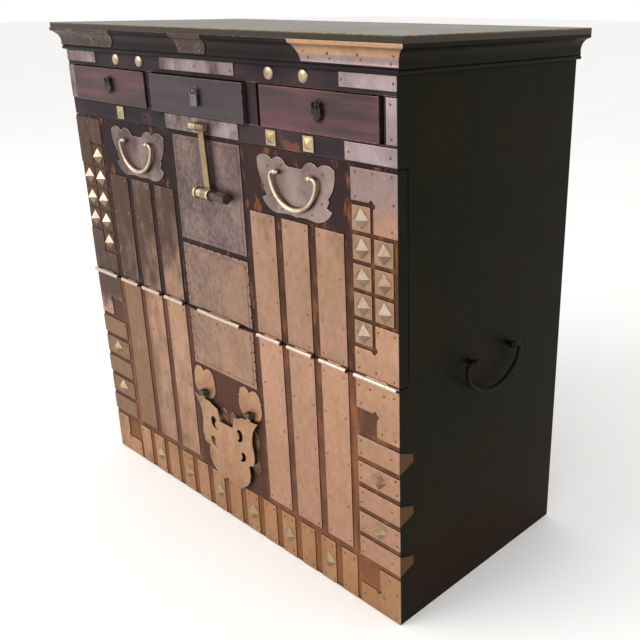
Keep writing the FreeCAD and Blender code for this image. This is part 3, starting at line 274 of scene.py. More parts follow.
PALE_PINE = tint(168, 128, 84)
RING_BROWN = tint(122, 86, 54)
dress(bare_wood("inner_wood", ALONG_X, PALE_PINE, RING_BROWN), "dust_board")
dress(bare_wood("partition_wood", ALONG_Y, PALE_PINE, RING_BROWN), "drawer_partitions")


# Front frame: the fixed lower board, the drawer and frieze rails and four stiles, of a hard reddish wood.
# Their lacquer is almost black at the top of the chest, and worn to red-brown and orange lower down.

HALF_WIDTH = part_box("lower_front")[1][0]
BOARD_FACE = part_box("lower_front")[0][1]
LOST_X, LOST_Z = -0.1805, 0.781
PALE_WEAR = tint(172, 132, 106)


def dark_ends(place, colour):
    """The lacquer of the sides on a front board's two ends."""
    x, y, z = place.axes()
    return abs(x).ease(HALF_WIDTH - 0.0007, HALF_WIDTH - 0.0002).blend(colour, GREEN_BLACK)


def stained_inside(place, plain, worn):
    """The worn colour on a front board's face; behind the face, only stain on the plain board."""
    x, y, z = place.axes()
    behind = y.ease(BOARD_FACE + 0.0010, BOARD_FACE + 0.0045)
    return dark_ends(place, behind.blend(worn, (behind * 0.7).blend(plain, tint(92, 64, 44))))


def lower_wear_and_shadow(place, colour, blotches):
    """The foot and the gaps inside the side straps are rubbed to orange wood; a painted shadow darkens it
    round the drop plate."""
    x, y, z = place.axes()
    foot = (z + (blotches - 0.5) * 0.16).ease(0.12, 0.05) * 0.6
    outer = abs(abs(x) - 0.350).ease(0.012, 0.008) * (blotches.ease(0.38, 0.60) * 0.6 + 0.12)
    rubbed = (x + (blotches - 0.5) * 0.5).ease(-0.1, 0.5) * blotches.ease(0.46, 0.62) * 0.5
    worn = foot.most(outer).most(rubbed).blend(colour, tint(146, 92, 56))
    # Painted shadow of the drop plate on the wood round it.
    centre = abs(x).ease(0.112, 0.100) * z.ease(0.088, 0.092) * 0.8
    return stained_inside(place, colour, centre.blend(worn, tint(75, 50, 41)))


def lost_stud(place, colour, blotches):
    """Where a rail stud is lost: a square of redder wood, and the hole of its spike, painted black as shade.
    """
    x, y, z = place.axes()
    square = abs(x - LOST_X).ease(0.0150, 0.0138) * abs(z - LOST_Z).ease(0.0088, 0.0078)
    square = square * y.ease(BOARD_FACE + 0.0015, BOARD_FACE + 0.0002)
    off_x, off_z = x - (LOST_X - 0.0065), z - (LOST_Z - 0.0004)
    # The spike hole is painted black as shade.
    hole = (off_x * off_x + off_z * off_z).ease(0.0000085, 0.0000050) * square
    beside = abs(abs(x) - 0.2255).ease(0.030, 0.018) * blotches.ease(0.45, 0.6) * x.ease(0.1, 0.16)
    colour = (beside * z.ease(0.800, 0.798) * 0.6).blend(colour, tint(132, 82, 60))
    return dark_ends(place, hole.blend((square * 0.45).blend(colour, tint(92, 54, 50)), SOOT_AND_SHADE))


dress(lacquer("lower_front_lacquer", "lower_front", ALONG_X, tint(84, 57, 47), tint(108, 72, 54),
              tint(140, 86, 48), patchy=0.62, rubbed=0.0002, patch=(0.018, 0.05, 0.07), marks=lower_wear_and_shadow),
      "lower_front")
for rail in ("drawer_rail", "frieze_rail"):
    dress(lacquer(rail + "_lacquer", rail, ALONG_X, tint(43, 37, 43), tint(70, 56, 58), PALE_WEAR,
                  rubbed=0.0004, marks=lost_stud), rail)
dress(lacquer("stile_lacquer", "drawer_stiles", ALONG_Z, tint(39, 33, 38), tint(58, 47, 50), PALE_WEAR,
              rubbed=0.0005, marks=lambda place, colour, blotches: dark_ends(place, colour)), "drawer_stiles")


# Top board and cornice: a thin top over a moulding in three mitred lengths, glued round the head of the case.
# Both are dark and polished by dusters, with a light line where lacquer is knocked off the edges; the upper
# face of the top is painted pale olive as its sheen.

TOP_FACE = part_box("top_board")[1][2]


def top_with_painted_sheen(place, colour, blotches):
    """Only the upper face takes the pale olive, a painted sheen; the edge below it stays dark up to a rubbed
    line.
    """
    x, y, z = place.axes()
    sheen_face = (z + (blotches - 0.5) * 0.003).ease(TOP_FACE - 0.0026, TOP_FACE - 0.0012)
    return sheen_face.blend(tint(40, 30, 29), colour)


WORN_EDGE = tint(158, 128, 96)
# The olive colours show only on the upper face, as a painted sheen.
dress(lacquer("top_lacquer", "top_board", ALONG_X, tint(74, 66, 43), tint(98, 86, 56), WORN_EDGE,
              streaked=0.4, patchy=0.7, rubbed=0.0018, rough=0.38, gloss=0.4, marks=top_with_painted_sheen,
              shine=(0.80, 0.79, 0.55, 1.0)), "top_board")
dress(lacquer("cornice_lacquer", "cornice_front", ALONG_X, tint(24, 17, 18), tint(37, 27, 26), WORN_EDGE,
              rough=0.36, gloss=0.08, shine=(1.0, 0.85, 0.85, 1.0)), "cornice_front")
for board in ("cornice_left", "cornice_right"):
    dress(lacquer(board + "_lacquer", board, ALONG_Y, GREEN_BLACK, BROWN_BLACK, tint(66, 54, 36), rough=0.42,
                  shine=OLIVE_SHINE), board)


# Sheet brass on the lower front: hinge leaves of straps and corners, side and base straps, base corners.
# Cut with shears from sheet 1.6 mm thick, hammered flat and nailed on; pink where rubbed, golden at the foot.

def pivot(joint):
    """The place of a joint's axis."""
    return next(entry["pos_m"] for entry in frame["joints"] if entry["name"] == joint)


HINGE_Z = pivot("flap_hinge")[2]
BARREL_RADIUS = 0.004
STRAP_LOW, STRAP_PITCH, HALF_GAP = 0.11525, 0.08125, 0.009


def sheet_brass(name, clean, cloudy, tarnish_and_shade, age_and_shade, turn=None, smear=(0.024, 0.05, 0.045), rim=0.3,
                carve=None):
    """Old sheet brass. A clean colour turns cloudy where broad noise, or the turn function, says so. Tarnish
    and painted shade lie where the age function of x and z, roughened by smears and clouds, passes a level.
    Each strap has a tone of its own, picked by its number; mottles, rub marks and specks vary it. Edges,
    where a rounded normal leaves the flat one, are bright from wear and a painted highlight, and hinge
    barrels carry a painted highlight; tabs round the corner are painted brown as shade. carve gives engraved
    lines, and dirt with painted shade lies beside what stands on the sheet."""
    material, shader, place = finish(name)
    x, y, z = place.axes()
    clouds = place.noise((0.06, 0.06, 0.08), 4.0)
    smears = place.noise(smear, 5.0)
    mottles = place.noise((0.010, 0.010, 0.014), 4.0)
    specks = place.noise((0.0032, 0.0032, 0.0032), 3.0)
    rubs = place.noise((0.0010, 0.05, 0.03), 3.0, (0.0, radians(35), 0.0))
    dents = place.noise((0.012, 0.012, 0.012), 1.0)

    number = (abs(x) - STRAP_LOW + HALF_GAP) / STRAP_PITCH
    number = number.math("FLOOR", number) + x.ease(-0.001, 0.001) * 17
    number = number + z.ease(HINGE_Z - 0.001, HINGE_Z + 0.001) * 31
    tone = number.node("TexWhiteNoise", {"noise_dimensions": "1D"}, {"W": number})

    fresh = (turn(x, z, clouds) if turn else clouds.ease(0.40, 0.62)).blend(clean, cloudy)
    # Tarnish, and the painted shade that the age function gives, turn the fresh colour to the tarnish colour.
    dull = (age_and_shade(x, z) + (smears - 0.5) * 1.3 + (clouds - 0.5) * 0.7).ease(0.15, 0.95)
    shade = tone * 0.07 + smears * 0.20 + mottles * 0.42 + rubs * 0.14 + specks * 0.27 + 0.25
    colour = dull.blend(fresh, tarnish_and_shade).dimmed(shade)
    colour = (specks.ease(0.62, 0.72) * 0.4).blend(colour, tint(88, 62, 48))
    lines = carve(place) if carve else specks * 0.0
    colour = (lines * 0.45).blend(colour, tint(66, 50, 44))
    # Dirt and painted shade beside what stands on the sheet.
    colour = dirt_and_painted_shade(place, colour, 0.005, 0.75, tint(60, 42, 32))

    rounded = place.node("Bevel", {"samples": 4}, {"Radius": 0.0016})
    flat = place.node("NewGeometry", out=1)
    turned = 1 - flat.node("VectorMath", {"operation": "DOT_PRODUCT"}, {0: rounded, 1: flat}, out=1)
    barrel = abs(z - HINGE_Z).ease(BARREL_RADIUS + 0.0008, BARREL_RADIUS - 0.0004)
    # Painted highlight on the barrels; the rims are partly worn bright and partly a painted highlight.
    highlight_and_worn_rim = (turned.ease(0.02, 0.15) * rim).most(barrel * 0.9)
    colour = highlight_and_worn_rim.blend(colour, tint(203, 184, 168))
    # Painted shade on the tabs that wrap round to the side.
    tab_shade = abs(x).ease(HALF_WIDTH + 0.0006, HALF_WIDTH + 0.0010) * z.ease(0.42, 0.41)
    colour = tab_shade.blend(colour, tint(88, 59, 31))

    feed(shader, {
        "Base Color": colour,
        "Metallic": 0.95 - specks.ease(0.55, 0.8) * 0.2 - dull * 0.1,
        "Roughness": smears * 0.22 + specks * 0.15 + dull * 0.06 + 0.22 - barrel * 0.1,
        "Normal": (rubs * 0.1 + specks * 0.12 + dents * 0.7 - lines * 0.6).bump(0.0006, rounded),
    })
    return material


def lower_age_and_shade(x, z):
    """The left of the lower front is dull, most of all the straps near the corner and under the hinge. This
    darkening is partly tarnish and partly painted shade.
    """
    return x.ease(0.10, -0.30) * 0.62 + x.ease(-0.24, -0.28) * (z.ease(0.39, 0.43) * 0.4 + 0.4)


def corner_age_and_shade(x, z):
    """The corner hinge on the left is smoked from its head down to the middle of its lower leaf; the
    darkening is partly smoke and partly painted shade.
    """
    return x.ease(0.1, -0.1) * (z.ease(0.33, 0.40) * 0.75 + 0.15)


def base_age_and_shade(x, z):
    """The base is a little duller towards the left, partly from tarnish and partly as painted shade."""
    return x.ease(0.10, -0.45) * 0.25


# Dark brown for smoke tarnish and for the painted shade towards the left.
SMOKE_AND_SHADE = tint(82, 57, 43)
STRAW_BRASS = tint(190, 148, 118)
dress(sheet_brass("lower_brass", tint(196, 150, 124), STRAW_BRASS, tint(142, 104, 74), lower_age_and_shade),
      "lower_straps", "side_straps")
dress(sheet_brass("corner_leaf_brass", tint(204, 157, 128), STRAW_BRASS, SMOKE_AND_SHADE, corner_age_and_shade),
      "lower_corner_leaves", "flap_corner_leaves")
dress(sheet_brass("base_brass", tint(190, 145, 104), tint(184, 136, 95), tint(136, 98, 62), base_age_and_shade,
                  rim=0.2), "base_straps", "base_corner_plates")


# Sheet brass on the head of the case: plates on the frieze, the drawer rail, the end stiles and the cornice.
# Thin sheet, bent to the cove at the cornice; grey-lilac with age, and almost brown towards the left, partly
# from tarnish and partly as painted shade.

# Dark tarnish, also used as painted shade towards the left.
DARK_TARNISH_AND_SHADE = tint(78, 62, 54)


def left_age_and_shade(x, z):
    """The plates grow browner towards the left, and a little less so at the corner; the browning is partly
    tarnish and partly painted shade.
    """
    return x.ease(0.36, -0.05) * 0.54 - x.ease(-0.25, -0.40) * 0.1


def cornice_age_and_shade(x, z):
    """Only the plate on the right is clean; the darkening of the others is partly tarnish and partly painted
    shade.
    """
    return x.ease(0.22, 0.12) * 0.95


def golden_cove(x, z, clouds):
    """Golden over the upper cove and lip, and lilac in the band at its foot."""
    return (z + (clouds - 0.5) * 0.004).ease(0.9095, 0.9125)


dress(sheet_brass("frieze_brass", tint(180, 160, 162), tint(162, 142, 143), DARK_TARNISH_AND_SHADE, left_age_and_shade, rim=0.4),
      "frame_plates")
dress(sheet_brass("cornice_brass", tint(160, 138, 134), tint(194, 152, 116), DARK_TARNISH_AND_SHADE, cornice_age_and_shade,
                  turn=golden_cove, smear=(0.012, 0.012, 0.05)), "cornice_plates")


# Flap: one thick board of the same wood as the front, hung on nine hinges at its foot, let down to open.
# Six long straps, a centre leaf, the lock plate, corner plates and square stud plates cover most of it.

def flap_wear(place, colour, blotches):
    """Orange wood shows in patches round the right handle, in the outer columns and towards the foot. The
    outer columns and the gaps between the right straps are rubbed brown."""
    x, y, z = place.axes()
    level = blotches + x.ease(-0.05, 0.2) * 0.04 + abs(x).ease(0.33, 0.37) * 0.06 + z.ease(0.64, 0.47) * 0.05
    patches = level.ease(0.61, 0.74) * 0.65
    gaps = x.ease(0.09, 0.13) * z.ease(0.68, 0.58) * (blotches.ease(0.30, 0.55) * 0.4 + 0.25)
    brown = (abs(x).ease(0.34, 0.37) * z.ease(0.74, 0.68) * 0.6).most(gaps)
    worn = patches.blend(brown.blend(colour, tint(100, 64, 43)), tint(136, 84, 50))
    return stained_inside(place, colour, worn)


def flap_age_and_shade(x, z):
    """The left straps are smoked brown down to a slanting line, partly smoke and partly painted shade; on the
    right only their heads are smudged.
    """
    smoke = (z - x * 0.6 - 0.60).ease(-0.10, 0.08) * 0.48 + 0.32 + x.ease(-0.20, -0.30) * 0.12
    return smoke * x.ease(-0.09, -0.12) + z.ease(0.56, 0.66) * x.ease(-0.12, 0.1) * 0.28


def corner_turn(x, z, clouds):
    """Lilac at the head of the upper corner plates, pink below."""
    return (z + (clouds - 0.5) * 0.10).ease(0.665, 0.725)


dress(lacquer("flap_lacquer", "flap_board", ALONG_X, tint(40, 29, 31), tint(60, 43, 41), PALE_WEAR,
              patchy=0.78, rubbed=0.0002, patch=(0.013, 0.05, 0.034), marks=flap_wear), "flap_board")
dress(sheet_brass("flap_brass", tint(178, 138, 114), tint(168, 132, 104), SMOKE_AND_SHADE, flap_age_and_shade),
      "flap_straps", "flap_stud_plates")
# The left corner plates darken, partly tarnish and partly painted shade.
dress(sheet_brass("corner_brass", tint(182, 140, 116), tint(158, 134, 130), SMOKE_AND_SHADE,
                  lambda x, z: x.ease(0.0, -0.1) * 0.9, turn=corner_turn), "flap_corner_plates")


# Lock plate and centre leaves: three wide sheets down the middle, engraved with a double line round the edge.
# The lock plate is handled most and is tarnished lilac-brown in strokes; the leaves below it are pinker.

def border_lines(node, *insets):
    """Engraved lines that keep the same distance from all edges of a plate."""
    low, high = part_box(node)

    def carve(place):
        x, y, z = place.axes()
        inside = (x - low[0]).least(high[0] - x).least((z - low[2]).least(high[2] - z))
        lines = [abs(inside - inset).ease(0.0011, 0.0004) for inset in insets]
        return lines[0].most(lines[1])
    return carve


for plate, clean, cloudy, tarnish_and_shade, smoked in (
        ("lock_plate", tint(150, 125, 118), tint(132, 111, 108), tint(90, 73, 68), 0.40),
        ("flap_centre_leaf", tint(166, 130, 108), tint(154, 123, 107), tint(104, 84, 74), 0.24),
        ("lower_centre_leaf", tint(176, 136, 110), tint(166, 130, 109), tint(120, 94, 80), 0.18)):
    # Each darkens a little towards the left, partly tarnish and partly painted shade.
    dress(sheet_brass(plate + "_brass", clean, cloudy, tarnish_and_shade,
                      lambda x, z: x.ease(0.09, -0.09) * 0.18 + smoked, smear=(0.006, 0.05, 0.009),
                      carve=border_lines(plate, 0.0055, 0.0080)), plate)


# Hinge pins: iron rods through the barrels, with a short dark end beyond each of them.
# The ends are riveted over, so a pin turns in the barrels and does not creep out.

def wrought_iron(name, dark, rust, metal=0.75, gloss=0.5):
    """Wrought iron. Scale is fine noise that roughens a dark skin; rust shows in the clouds of a broader
    noise. Under old lacquer or soot it has less metal and gloss."""
    material, shader, place = finish(name)
    scale = place.noise((0.0025, 0.0025, 0.0025), 4.0)
    clouds = place.noise((0.02, 0.02, 0.02), 4.0)
    colour = clouds.ease(0.5, 0.68).blend(dark, rust).dimmed(scale * 0.7 + 0.45)
    feed(shader, {
        "Base Color": colour,
        "Metallic": metal - clouds.ease(0.5, 0.68) * (metal * 0.65),
        "Roughness": scale * 0.3 + 0.3,
        "Specular IOR Level": gloss,
        "Normal": scale.bump(0.0003),
    })
    return material


dress(wrought_iron("dark_iron", tint(30, 27, 24), tint(48, 34, 26)), "hinge_pins")


# Studs: cast pyramids on the flap, the side and base straps and the drawer rail, and domes on the frieze.
# Each has a spike behind, driven through its plate into the wood; the points are polished by hands.

def cast_brass(name, pale, dull, soft=0.0008, shaded=0.5):
    """Cast brass. Tarnish is broad noise between a pale and a dull colour; the skin keeps the grain of the
    mould, and its edges are rounded by the soft radius. Faces that look down and to the right are darkened by
    the shaded share as painted shade, and dirt with painted shade lies beside what stands close."""
    material, shader, place = finish(name)
    clouds = place.noise((0.03, 0.03, 0.03), 4.0)
    skin = place.noise((0.0016, 0.0016, 0.0016), 3.0)
    scuffs = place.noise((0.004, 0.004, 0.02), 3.0, (0.0, radians(50), 0.0))
    rounded = place.node("Bevel", {"samples": 4}, {"Radius": soft})
    colour = (clouds * 0.8 + scuffs * 0.5).ease(0.5, 0.95).blend(pale, dull)
    across, out, up = Value(place.socket.node.outputs["Normal"]).axes()
    # Painted shade on faces that look down and to the right, away from the light.
    colour = ((across * 0.55 - up * 0.8).ease(0.2, 0.55) * shaded).blend(colour, tint(84, 62, 46))
    # Dirt and painted shade beside what stands close.
    colour = dirt_and_painted_shade(place, colour, 0.004, 0.6, tint(60, 42, 32))
    feed(shader, {
        "Base Color": colour.dimmed(skin * 0.3 + 0.68),
        "Metallic": 0.92,
        "Roughness": clouds * 0.2 + skin * 0.15 + 0.20,
        "Normal": (skin * 0.5 + scuffs * 0.4).bump(0.0003, rounded),
    })
    return material


dress(cast_brass("stud_brass", tint(206, 184, 162), tint(168, 136, 108)), "flap_studs")
dress(cast_brass("dome_brass", tint(204, 186, 158), tint(150, 122, 92)), "frieze_studs")
dress(cast_brass("olive_stud_brass", tint(206, 186, 142), tint(158, 132, 94)), "rail_studs")
dress(cast_brass("low_stud_brass", tint(188, 160, 126), tint(128, 100, 76), soft=0.0005, shaded=0.45),
      "lower_studs")


# Nails: more than three hundred small round-headed brass nails hold the plates, in rows along their edges.
# They are hammered down almost flush and lie where the smith's eye put them, so each row wanders a little.

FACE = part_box("base_straps")[0][1]
NAIL_RADIUS = 0.0022
NAIL_HEIGHT = 0.0010
WANDER = 0.0022


def tube_faces(rings, around):
    """Quads between neighbouring rings of a closed tube, and one face over each end ring."""
    first = np.arange((rings - 1) * around).reshape(rings - 1, around)
    second = np.roll(first, -1, axis=1)
    quads = np.stack([first, second, second + around, first + around], axis=-1).reshape(-1, 4)
    ends = [np.arange(around)[::-1].tolist(), (np.arange(around) + (rings - 1) * around).tolist()]
    return quads, ends


def piece(name, points, faces, material, body):
    """A smooth mesh object, in place, that rides on a body."""
    mesh = bpy.data.meshes.new(name)
    mesh.from_pydata(points, [], faces)
    mesh.shade_smooth()
    mesh.materials.append(material)
    made = bpy.data.objects.new(name, mesh)
    bpy.context.scene.collection.objects.link(made)
    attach(made, body)
    return made


wander = np.random.default_rng(11)


def nail_heads(name, places, material, body):
    """Low domes on the front, one near each place (x, y, z): rings whose radius is the cosine and whose
    height is the sine of an angle that goes from 20 degrees under the sheet's face to 75 over it."""
    places = np.array(places)
    places = places + wander.uniform(-WANDER, WANDER, places.shape) * (1, 0, 1)
    rise, turn = np.meshgrid(np.radians([-20, 0, 40, 75]), np.arange(10) * np.pi / 5, indexing="ij")
    reach = NAIL_RADIUS * np.cos(rise)
    head = np.stack([reach * np.cos(turn), -NAIL_HEIGHT * np.sin(rise), reach * np.sin(turn)], axis=-1)
    points = places[:, None, None] + head
    quads, ends = tube_faces(*rise.shape)
    shift = np.arange(len(places))[:, None] * rise.size
    faces = (quads.reshape(1, -1) + shift).reshape(-1, 4).tolist()
    faces += [(np.array(end) + start).tolist() for start in shift[:, 0] for end in ends]
    piece(name, points.reshape(-1, 3), faces, material, body)


def row(spots, y=FACE):
    """Places (x, z) at one depth."""
    x, z = np.array(spots, float).T
    return np.stack([x, np.full_like(x, y), z], axis=-1)


def both_sides(spots, y=FACE):
    """Places given for the right half, and the same on the left."""
    right = np.array(spots, float)
    return row(np.concatenate([right, right * (-1, 1)]), y)


def crossed(columns, rows):
    """Every pair of a column and a row."""
    return [(x, z) for x in columns for z in rows]


COVE_HIGH, COVE_LOW = -0.2239, -0.2222
BASE_PITCH = 0.05513
SIDE_LOW, SIDE_PITCH = 0.09867, 0.04807
BUTTERFLY_Z = 0.709
pale_nails = cast_brass("pale_nails", tint(162, 130, 110), tint(124, 97, 80))
dark_nails = cast_brass("dark_nails", tint(146, 108, 84), tint(92, 68, 54))
strap_edges = [STRAP_LOW + step * STRAP_PITCH + inset for step in range(3) for inset in (0.008, 0.055)]
base_edges = [step * BASE_PITCH + side * 0.0115 for step in range(-6, 7) for side in (-1, 1)]
side_lows = [SIDE_LOW + step * SIDE_PITCH for step in range(5)]
tab_nails = [(x, low + z) for low in side_lows[::2]
             for x, z in ((0.366, 0.008), (0.366, 0.030), (0.432, 0.020))]
stud_strap_nails = crossed((0.3645, 0.4435), [low + z for low in side_lows[1::2] for z in (0.007, 0.031)])
nail_heads("lower_strap_nails", both_sides(crossed(strap_edges, (0.111, 0.181, 0.263, 0.346, 0.4195))),
           pale_nails, "carcass")
nail_heads("flap_strap_nails", both_sides(crossed(strap_edges, (0.448, 0.506, 0.583, 0.648))),
           pale_nails, "flap")
nail_heads("case_nails", np.concatenate([
    row(crossed(base_edges, (0.010, 0.0795))),
    both_sides(tab_nails + stud_strap_nails),
    both_sides([(0.427, 0.080), (0.412, 0.034), (0.367, 0.020), (0.442, 0.010), (0.444, 0.055)]),
    both_sides([(0.367, 0.420), (0.392, 0.417), (0.419, 0.418), (0.443, 0.420), (0.369, 0.390),
                (0.414, 0.349), (0.442, 0.349)]),
    both_sides(crossed((0.012, 0.089), (0.330, 0.4185)) + crossed((0.089,), (0.360, 0.390))),
    both_sides([(0.347, 0.880), (0.444, 0.880), (0.4415, 0.853), (0.4415, 0.806)]),
    row([(-0.108, 0.879), (-0.010, 0.879), (0.090, 0.879), (-0.108, 0.780), (0.090, 0.780), (0.357, 0.780),
         (0.441, 0.780)]),
    both_sides(crossed((0.274, 0.325, 0.386, 0.452), (0.914,)), COVE_HIGH),
    both_sides(crossed((0.284, 0.330, 0.388, 0.446), (0.9055,)), COVE_LOW),
    row([(-0.040, 0.914), (0.022, 0.914)], COVE_HIGH),
    row([(-0.036, 0.9055), (0.018, 0.9055)], COVE_LOW),
]), dark_nails, "carcass")
handle_nails = np.array([(-0.066, 0.030), (-0.034, 0.035), (0.034, 0.035), (0.066, 0.030), (-0.060, -0.016),
                         (0.060, -0.016), (-0.036, -0.036), (0.036, -0.036)])
left_x, right_x = [pivot(f"flap_handle_{side}_swing")[0] for side in ("left", "right")]
nail_heads("flap_nails", np.concatenate([
    both_sides(crossed((0.089,), (0.580, 0.624, 0.668, 0.712, 0.752)) + [(0.045, 0.752), (0.030, 0.580)]),
    both_sides(crossed((0.012, 0.089), (0.449, 0.553)) + crossed((0.089,), (0.484, 0.518))),
    both_sides([(0.366, 0.753), (0.405, 0.753), (0.443, 0.753), (0.366, 0.720), (0.443, 0.676),
                (0.443, 0.715)]),
    both_sides([(0.366, 0.449), (0.405, 0.449), (0.443, 0.449), (0.366, 0.475), (0.443, 0.519),
                (0.412, 0.519)]),
    row(handle_nails + (left_x, BUTTERFLY_Z)),
    row(handle_nails + (right_x, BUTTERFLY_Z)),
]), dark_nails, "flap")


# Flap handles: butterfly plates cut from sheet, eye posts through the board, cast bails that swing in them.
# A bail is thick in the middle, tapers to its ends, and rests on its plate.

# The left handle plate is darker, partly tarnish and partly painted shade.
dress(sheet_brass("butterfly_brass", tint(162, 140, 134), tint(138, 117, 113), tint(96, 79, 74),
                  lambda x, z: x.ease(0.15, -0.15) * 0.5 + 0.1, rim=0.7), "handle_plates")
handle_brass = cast_brass("handle_brass", tint(232, 214, 184), tint(180, 152, 118))
dress(handle_brass, "handle_posts")
END_RADIUS, SWELL = 0.0027, 0.0014


def bow(half, drop, steps=20):
    """Half of a bail's line from its middle to its end, in its own plane: an arc round the foot, a tighter
    arc up the flank, a quarter bend and a straight end, each tangent to the last."""
    bend, flank, tip = half * 0.15, half * 0.55, half * 0.63
    rise = ((half - flank) ** 2 + bend ** 2 - (drop - flank) ** 2) / (2 * (drop - flank - bend))
    lean = np.arctan2(half - flank, rise + bend)
    foot = np.linspace(0, lean, steps)
    side = np.linspace(lean, np.pi / 2, steps)[1:]
    turn = np.linspace(0, np.pi / 2, 8)[1:]
    across = np.concatenate([
        (rise + drop) * np.sin(foot), half - flank + flank * np.sin(side), half - bend + bend * np.cos(turn),
        np.linspace(half - bend, tip, 4)[1:]])
    down = np.concatenate([
        rise - (rise + drop) * np.cos(foot), -bend - flank * np.cos(side), -bend + bend * np.sin(turn),
        np.zeros(3)])
    return across, down


def tapered_bail(name, node):
    """A round bar in place of a plain one, on the body that has its node's name. It follows the bow from the
    joint's axis, as wide and deep as the middle of the plain bar in the node's box. Each ring lies across
    the line, and its radius falls from the line's middle to the bends on a squared cosine."""
    (_, _, foot), (right, _, head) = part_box(node)
    x, y, z = pivot(node + "_swing")
    plain_radius = head - z
    across, down = bow(right - plain_radius - x, z - plain_radius - foot)
    across = np.concatenate([-across[:0:-1], across])
    down = np.concatenate([down[:0:-1], down])
    run = np.concatenate([[0], np.cumsum(np.hypot(np.diff(across), np.diff(down)))])
    ahead = np.stack([np.gradient(across), np.gradient(down)])
    ahead /= np.hypot(*ahead)
    share = np.clip(abs(run / run[-1] - 0.5) / 0.38, 0, 1)
    radius = END_RADIUS + SWELL * np.cos(share * np.pi / 2) ** 2
    turn = np.arange(14) * np.pi / 7
    out = radius[:, None] * np.cos(turn)
    points = np.stack([
        x + across[:, None] - ahead[1][:, None] * out,
        y + radius[:, None] * np.sin(turn),
        z + down[:, None] + ahead[0][:, None] * out], axis=-1)
    quads, ends = tube_faces(*out.shape)
    made = piece(name, points.reshape(-1, 3), quads.tolist() + ends, handle_brass, node)
    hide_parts(node)


for side in ("left", "right"):
    tapered_bail("bail_" + side, "flap_handle_" + side)


# Lock: a cast barrel on two collars holds a six-sided iron bolt, and a hasp reaches from it up to the rail.
# The hasp turns on the barrel, and its hook lies over the pin of an eye on the rail, all in yellow brass.

# The hasp's right and lower faces take most of the painted shade.
dress(cast_brass("hasp_brass", tint(168, 144, 110), tint(118, 97, 70), soft=0.0018, shaded=0.9), "hasp")
dress(cast_brass("barrel_brass", tint(226, 208, 182), tint(166, 140, 108)), "hasp_eye", "lock_barrel")
dress(wrought_iron("bolt_iron", tint(92, 75, 68), tint(80, 60, 50)), "lock_bolt")


# Drop plate: a pierced openwork plate of brass hung by two rings from iron eyes, before a plain back plate.
# Two cut ears hold the eyes; the plate swings up to show the wood behind it.

RING_FOOT = 0.2565
FINE_SMEAR = (0.008, 0.008, 0.012)


def scribed(place):
    """Curling strokes of the graver: the contour lines of a soft noise, in the middle of its range. The two
    rings and the tips that carry them are black with grease."""
    x, y, z = place.axes()
    strokes = abs(place.noise((0.035, 0.035, 0.035), 1.0) - 0.5).ease(0.010, 0.003) * 0.6
    return strokes.most(z.ease(RING_FOOT, RING_FOOT + 0.0025) * 1.8)


# The drop plate darkens towards the left, partly tarnish and partly painted shade.
dress(sheet_brass("pierced_brass", tint(196, 152, 116), tint(184, 136, 104), tint(128, 94, 66),
                  lambda x, z: x.ease(0.02, -0.10) * 0.3 + 0.06, smear=FINE_SMEAR, rim=0.4, carve=scribed),
      "drop_plate")
# The back plate is dark below z 0.25, behind the drop plate: painted shadow of the drop plate.
dress(sheet_brass("back_plate_brass", tint(192, 150, 112), tint(178, 132, 100), tint(82, 58, 42),
                  lambda x, z: z.ease(0.256, 0.240) * 0.6 + 0.06, smear=FINE_SMEAR), "drop_back_plates")
dress(wrought_iron("eye_iron", tint(66, 65, 57), tint(46, 41, 33), metal=0.3, gloss=0.4), "drop_eyes")


# Drawers: three fronts of streaked red wood in plain boxes, the centre one greyer than the others.
# Each front has an iron post with a small round plate, and an iron drop that hangs from it as a pull.

for label, deep, warm in (("left", tint(50, 38, 42), tint(108, 60, 62)),
                          ("centre", tint(50, 43, 50), tint(65, 54, 59)),
                          ("right", tint(54, 43, 50), tint(116, 66, 70))):
    front = f"drawer_{label}_front"
    dress(lacquer(f"{label}_drawer_lacquer", front, ALONG_X, deep, warm, tint(140, 104, 84), streaked=0.55,
                  patchy=0.76, rubbed=0.0012, rough=0.36, gloss=0.3, patch=(0.10, 0.05, 0.012)), front)
dress(bare_wood("drawer_wood", ALONG_Y, PALE_PINE, RING_BROWN), "drawer_left_box", "drawer_centre_box",
      "drawer_right_box")
black_pull = wrought_iron("black_pull_iron", tint(44, 40, 38), tint(60, 44, 36))
grey_pull = wrought_iron("grey_pull_iron", tint(120, 116, 114), tint(92, 80, 72))
for label, iron in (("left", black_pull), ("centre", grey_pull), ("right", black_pull)):
    dress(iron, "pull_post_" + label, "pull_drop_" + label)


# Side handles: an iron bail at each end of the chest, hung in two eye posts clenched inside the side board.
# They carry the chest, so they are plain and thick; soot and old lacquer leave them almost black.

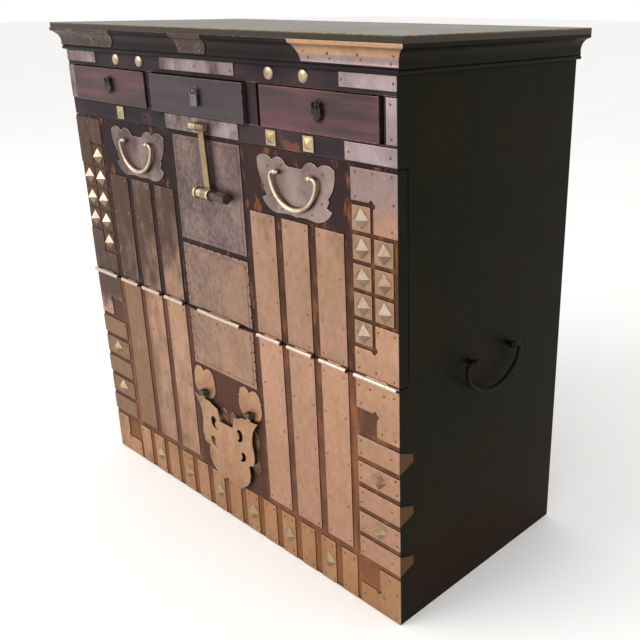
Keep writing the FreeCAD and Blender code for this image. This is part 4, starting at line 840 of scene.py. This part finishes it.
dress(wrought_iron("handle_iron", tint(17, 15, 13), tint(34, 24, 18), metal=0.15, gloss=0.08),
      "side_handle_left", "side_handle_right", "side_handle_posts")


# Stage: a pale floor, an even pale surround and two wide soft lights before the chest, a strong one at the
# upper left and a weak one at the right. The camera stands at the chest's right front, a little above its
# top, and looks down.

floor_paint, shader, place = finish("floor_paint")
feed(shader, {
    "Base Color": place.noise((0.6, 0.6, 0.6), 2.0).blend(tint(242, 241, 239), tint(248, 247, 245)),
    "Roughness": 0.9,
})
corners = np.array([(-1, -1, 0), (1, -1, 0), (1, 1, 0), (-1, 1, 0)]) * 40.0 - (0, 0, 0.0006)
ground = bpy.data.meshes.new("floor")
ground.from_pydata(corners, [], [(0, 1, 2, 3)])
ground.materials.append(floor_paint)
floor = bpy.data.objects.new("floor", ground)
bpy.context.scene.collection.objects.link(floor)

surround = bpy.data.worlds.new("surround")
surround.use_nodes = True
feed(surround.node_tree.nodes["Background"], {"Color": (1.0, 1.0, 1.0, 1.0), "Strength": 1.0})
bpy.context.scene.world = surround
for name, spot, aim, width, watts in (
        ("soft_key", (-1.6, -3.2, 2.9), (0.0, 0.0, 0.5), 3.0, 110.0),
        ("soft_fill", (2.6, -2.6, 1.8), (0.0, 0.0, 0.4), 2.4, 16.0)):
    light = bpy.data.lights.new(name, "AREA")
    light.size = width
    light.energy = watts
    lamp = bpy.data.objects.new(name, light)
    lamp.location = spot
    way = np.array(aim) - spot
    lamp.rotation_euler = (np.arctan2(np.hypot(*way[:2]), -way[2]), 0.0, np.arctan2(-way[0], way[1]))
    bpy.context.scene.collection.objects.link(lamp)

lens = bpy.data.cameras.new("camera")
lens.lens = 46.419
lens.shift_x = -0.1563
lens.shift_y = -0.0125
camera = bpy.data.objects.new("camera", lens)
camera.location = (1.2175, -1.0199, 0.9808)
camera.rotation_euler = (radians(69.315), radians(-0.094), radians(42.101))
bpy.context.scene.collection.objects.link(camera)
bpy.context.scene.camera = camera
bpy.context.scene.view_settings.view_transform = "Standard"
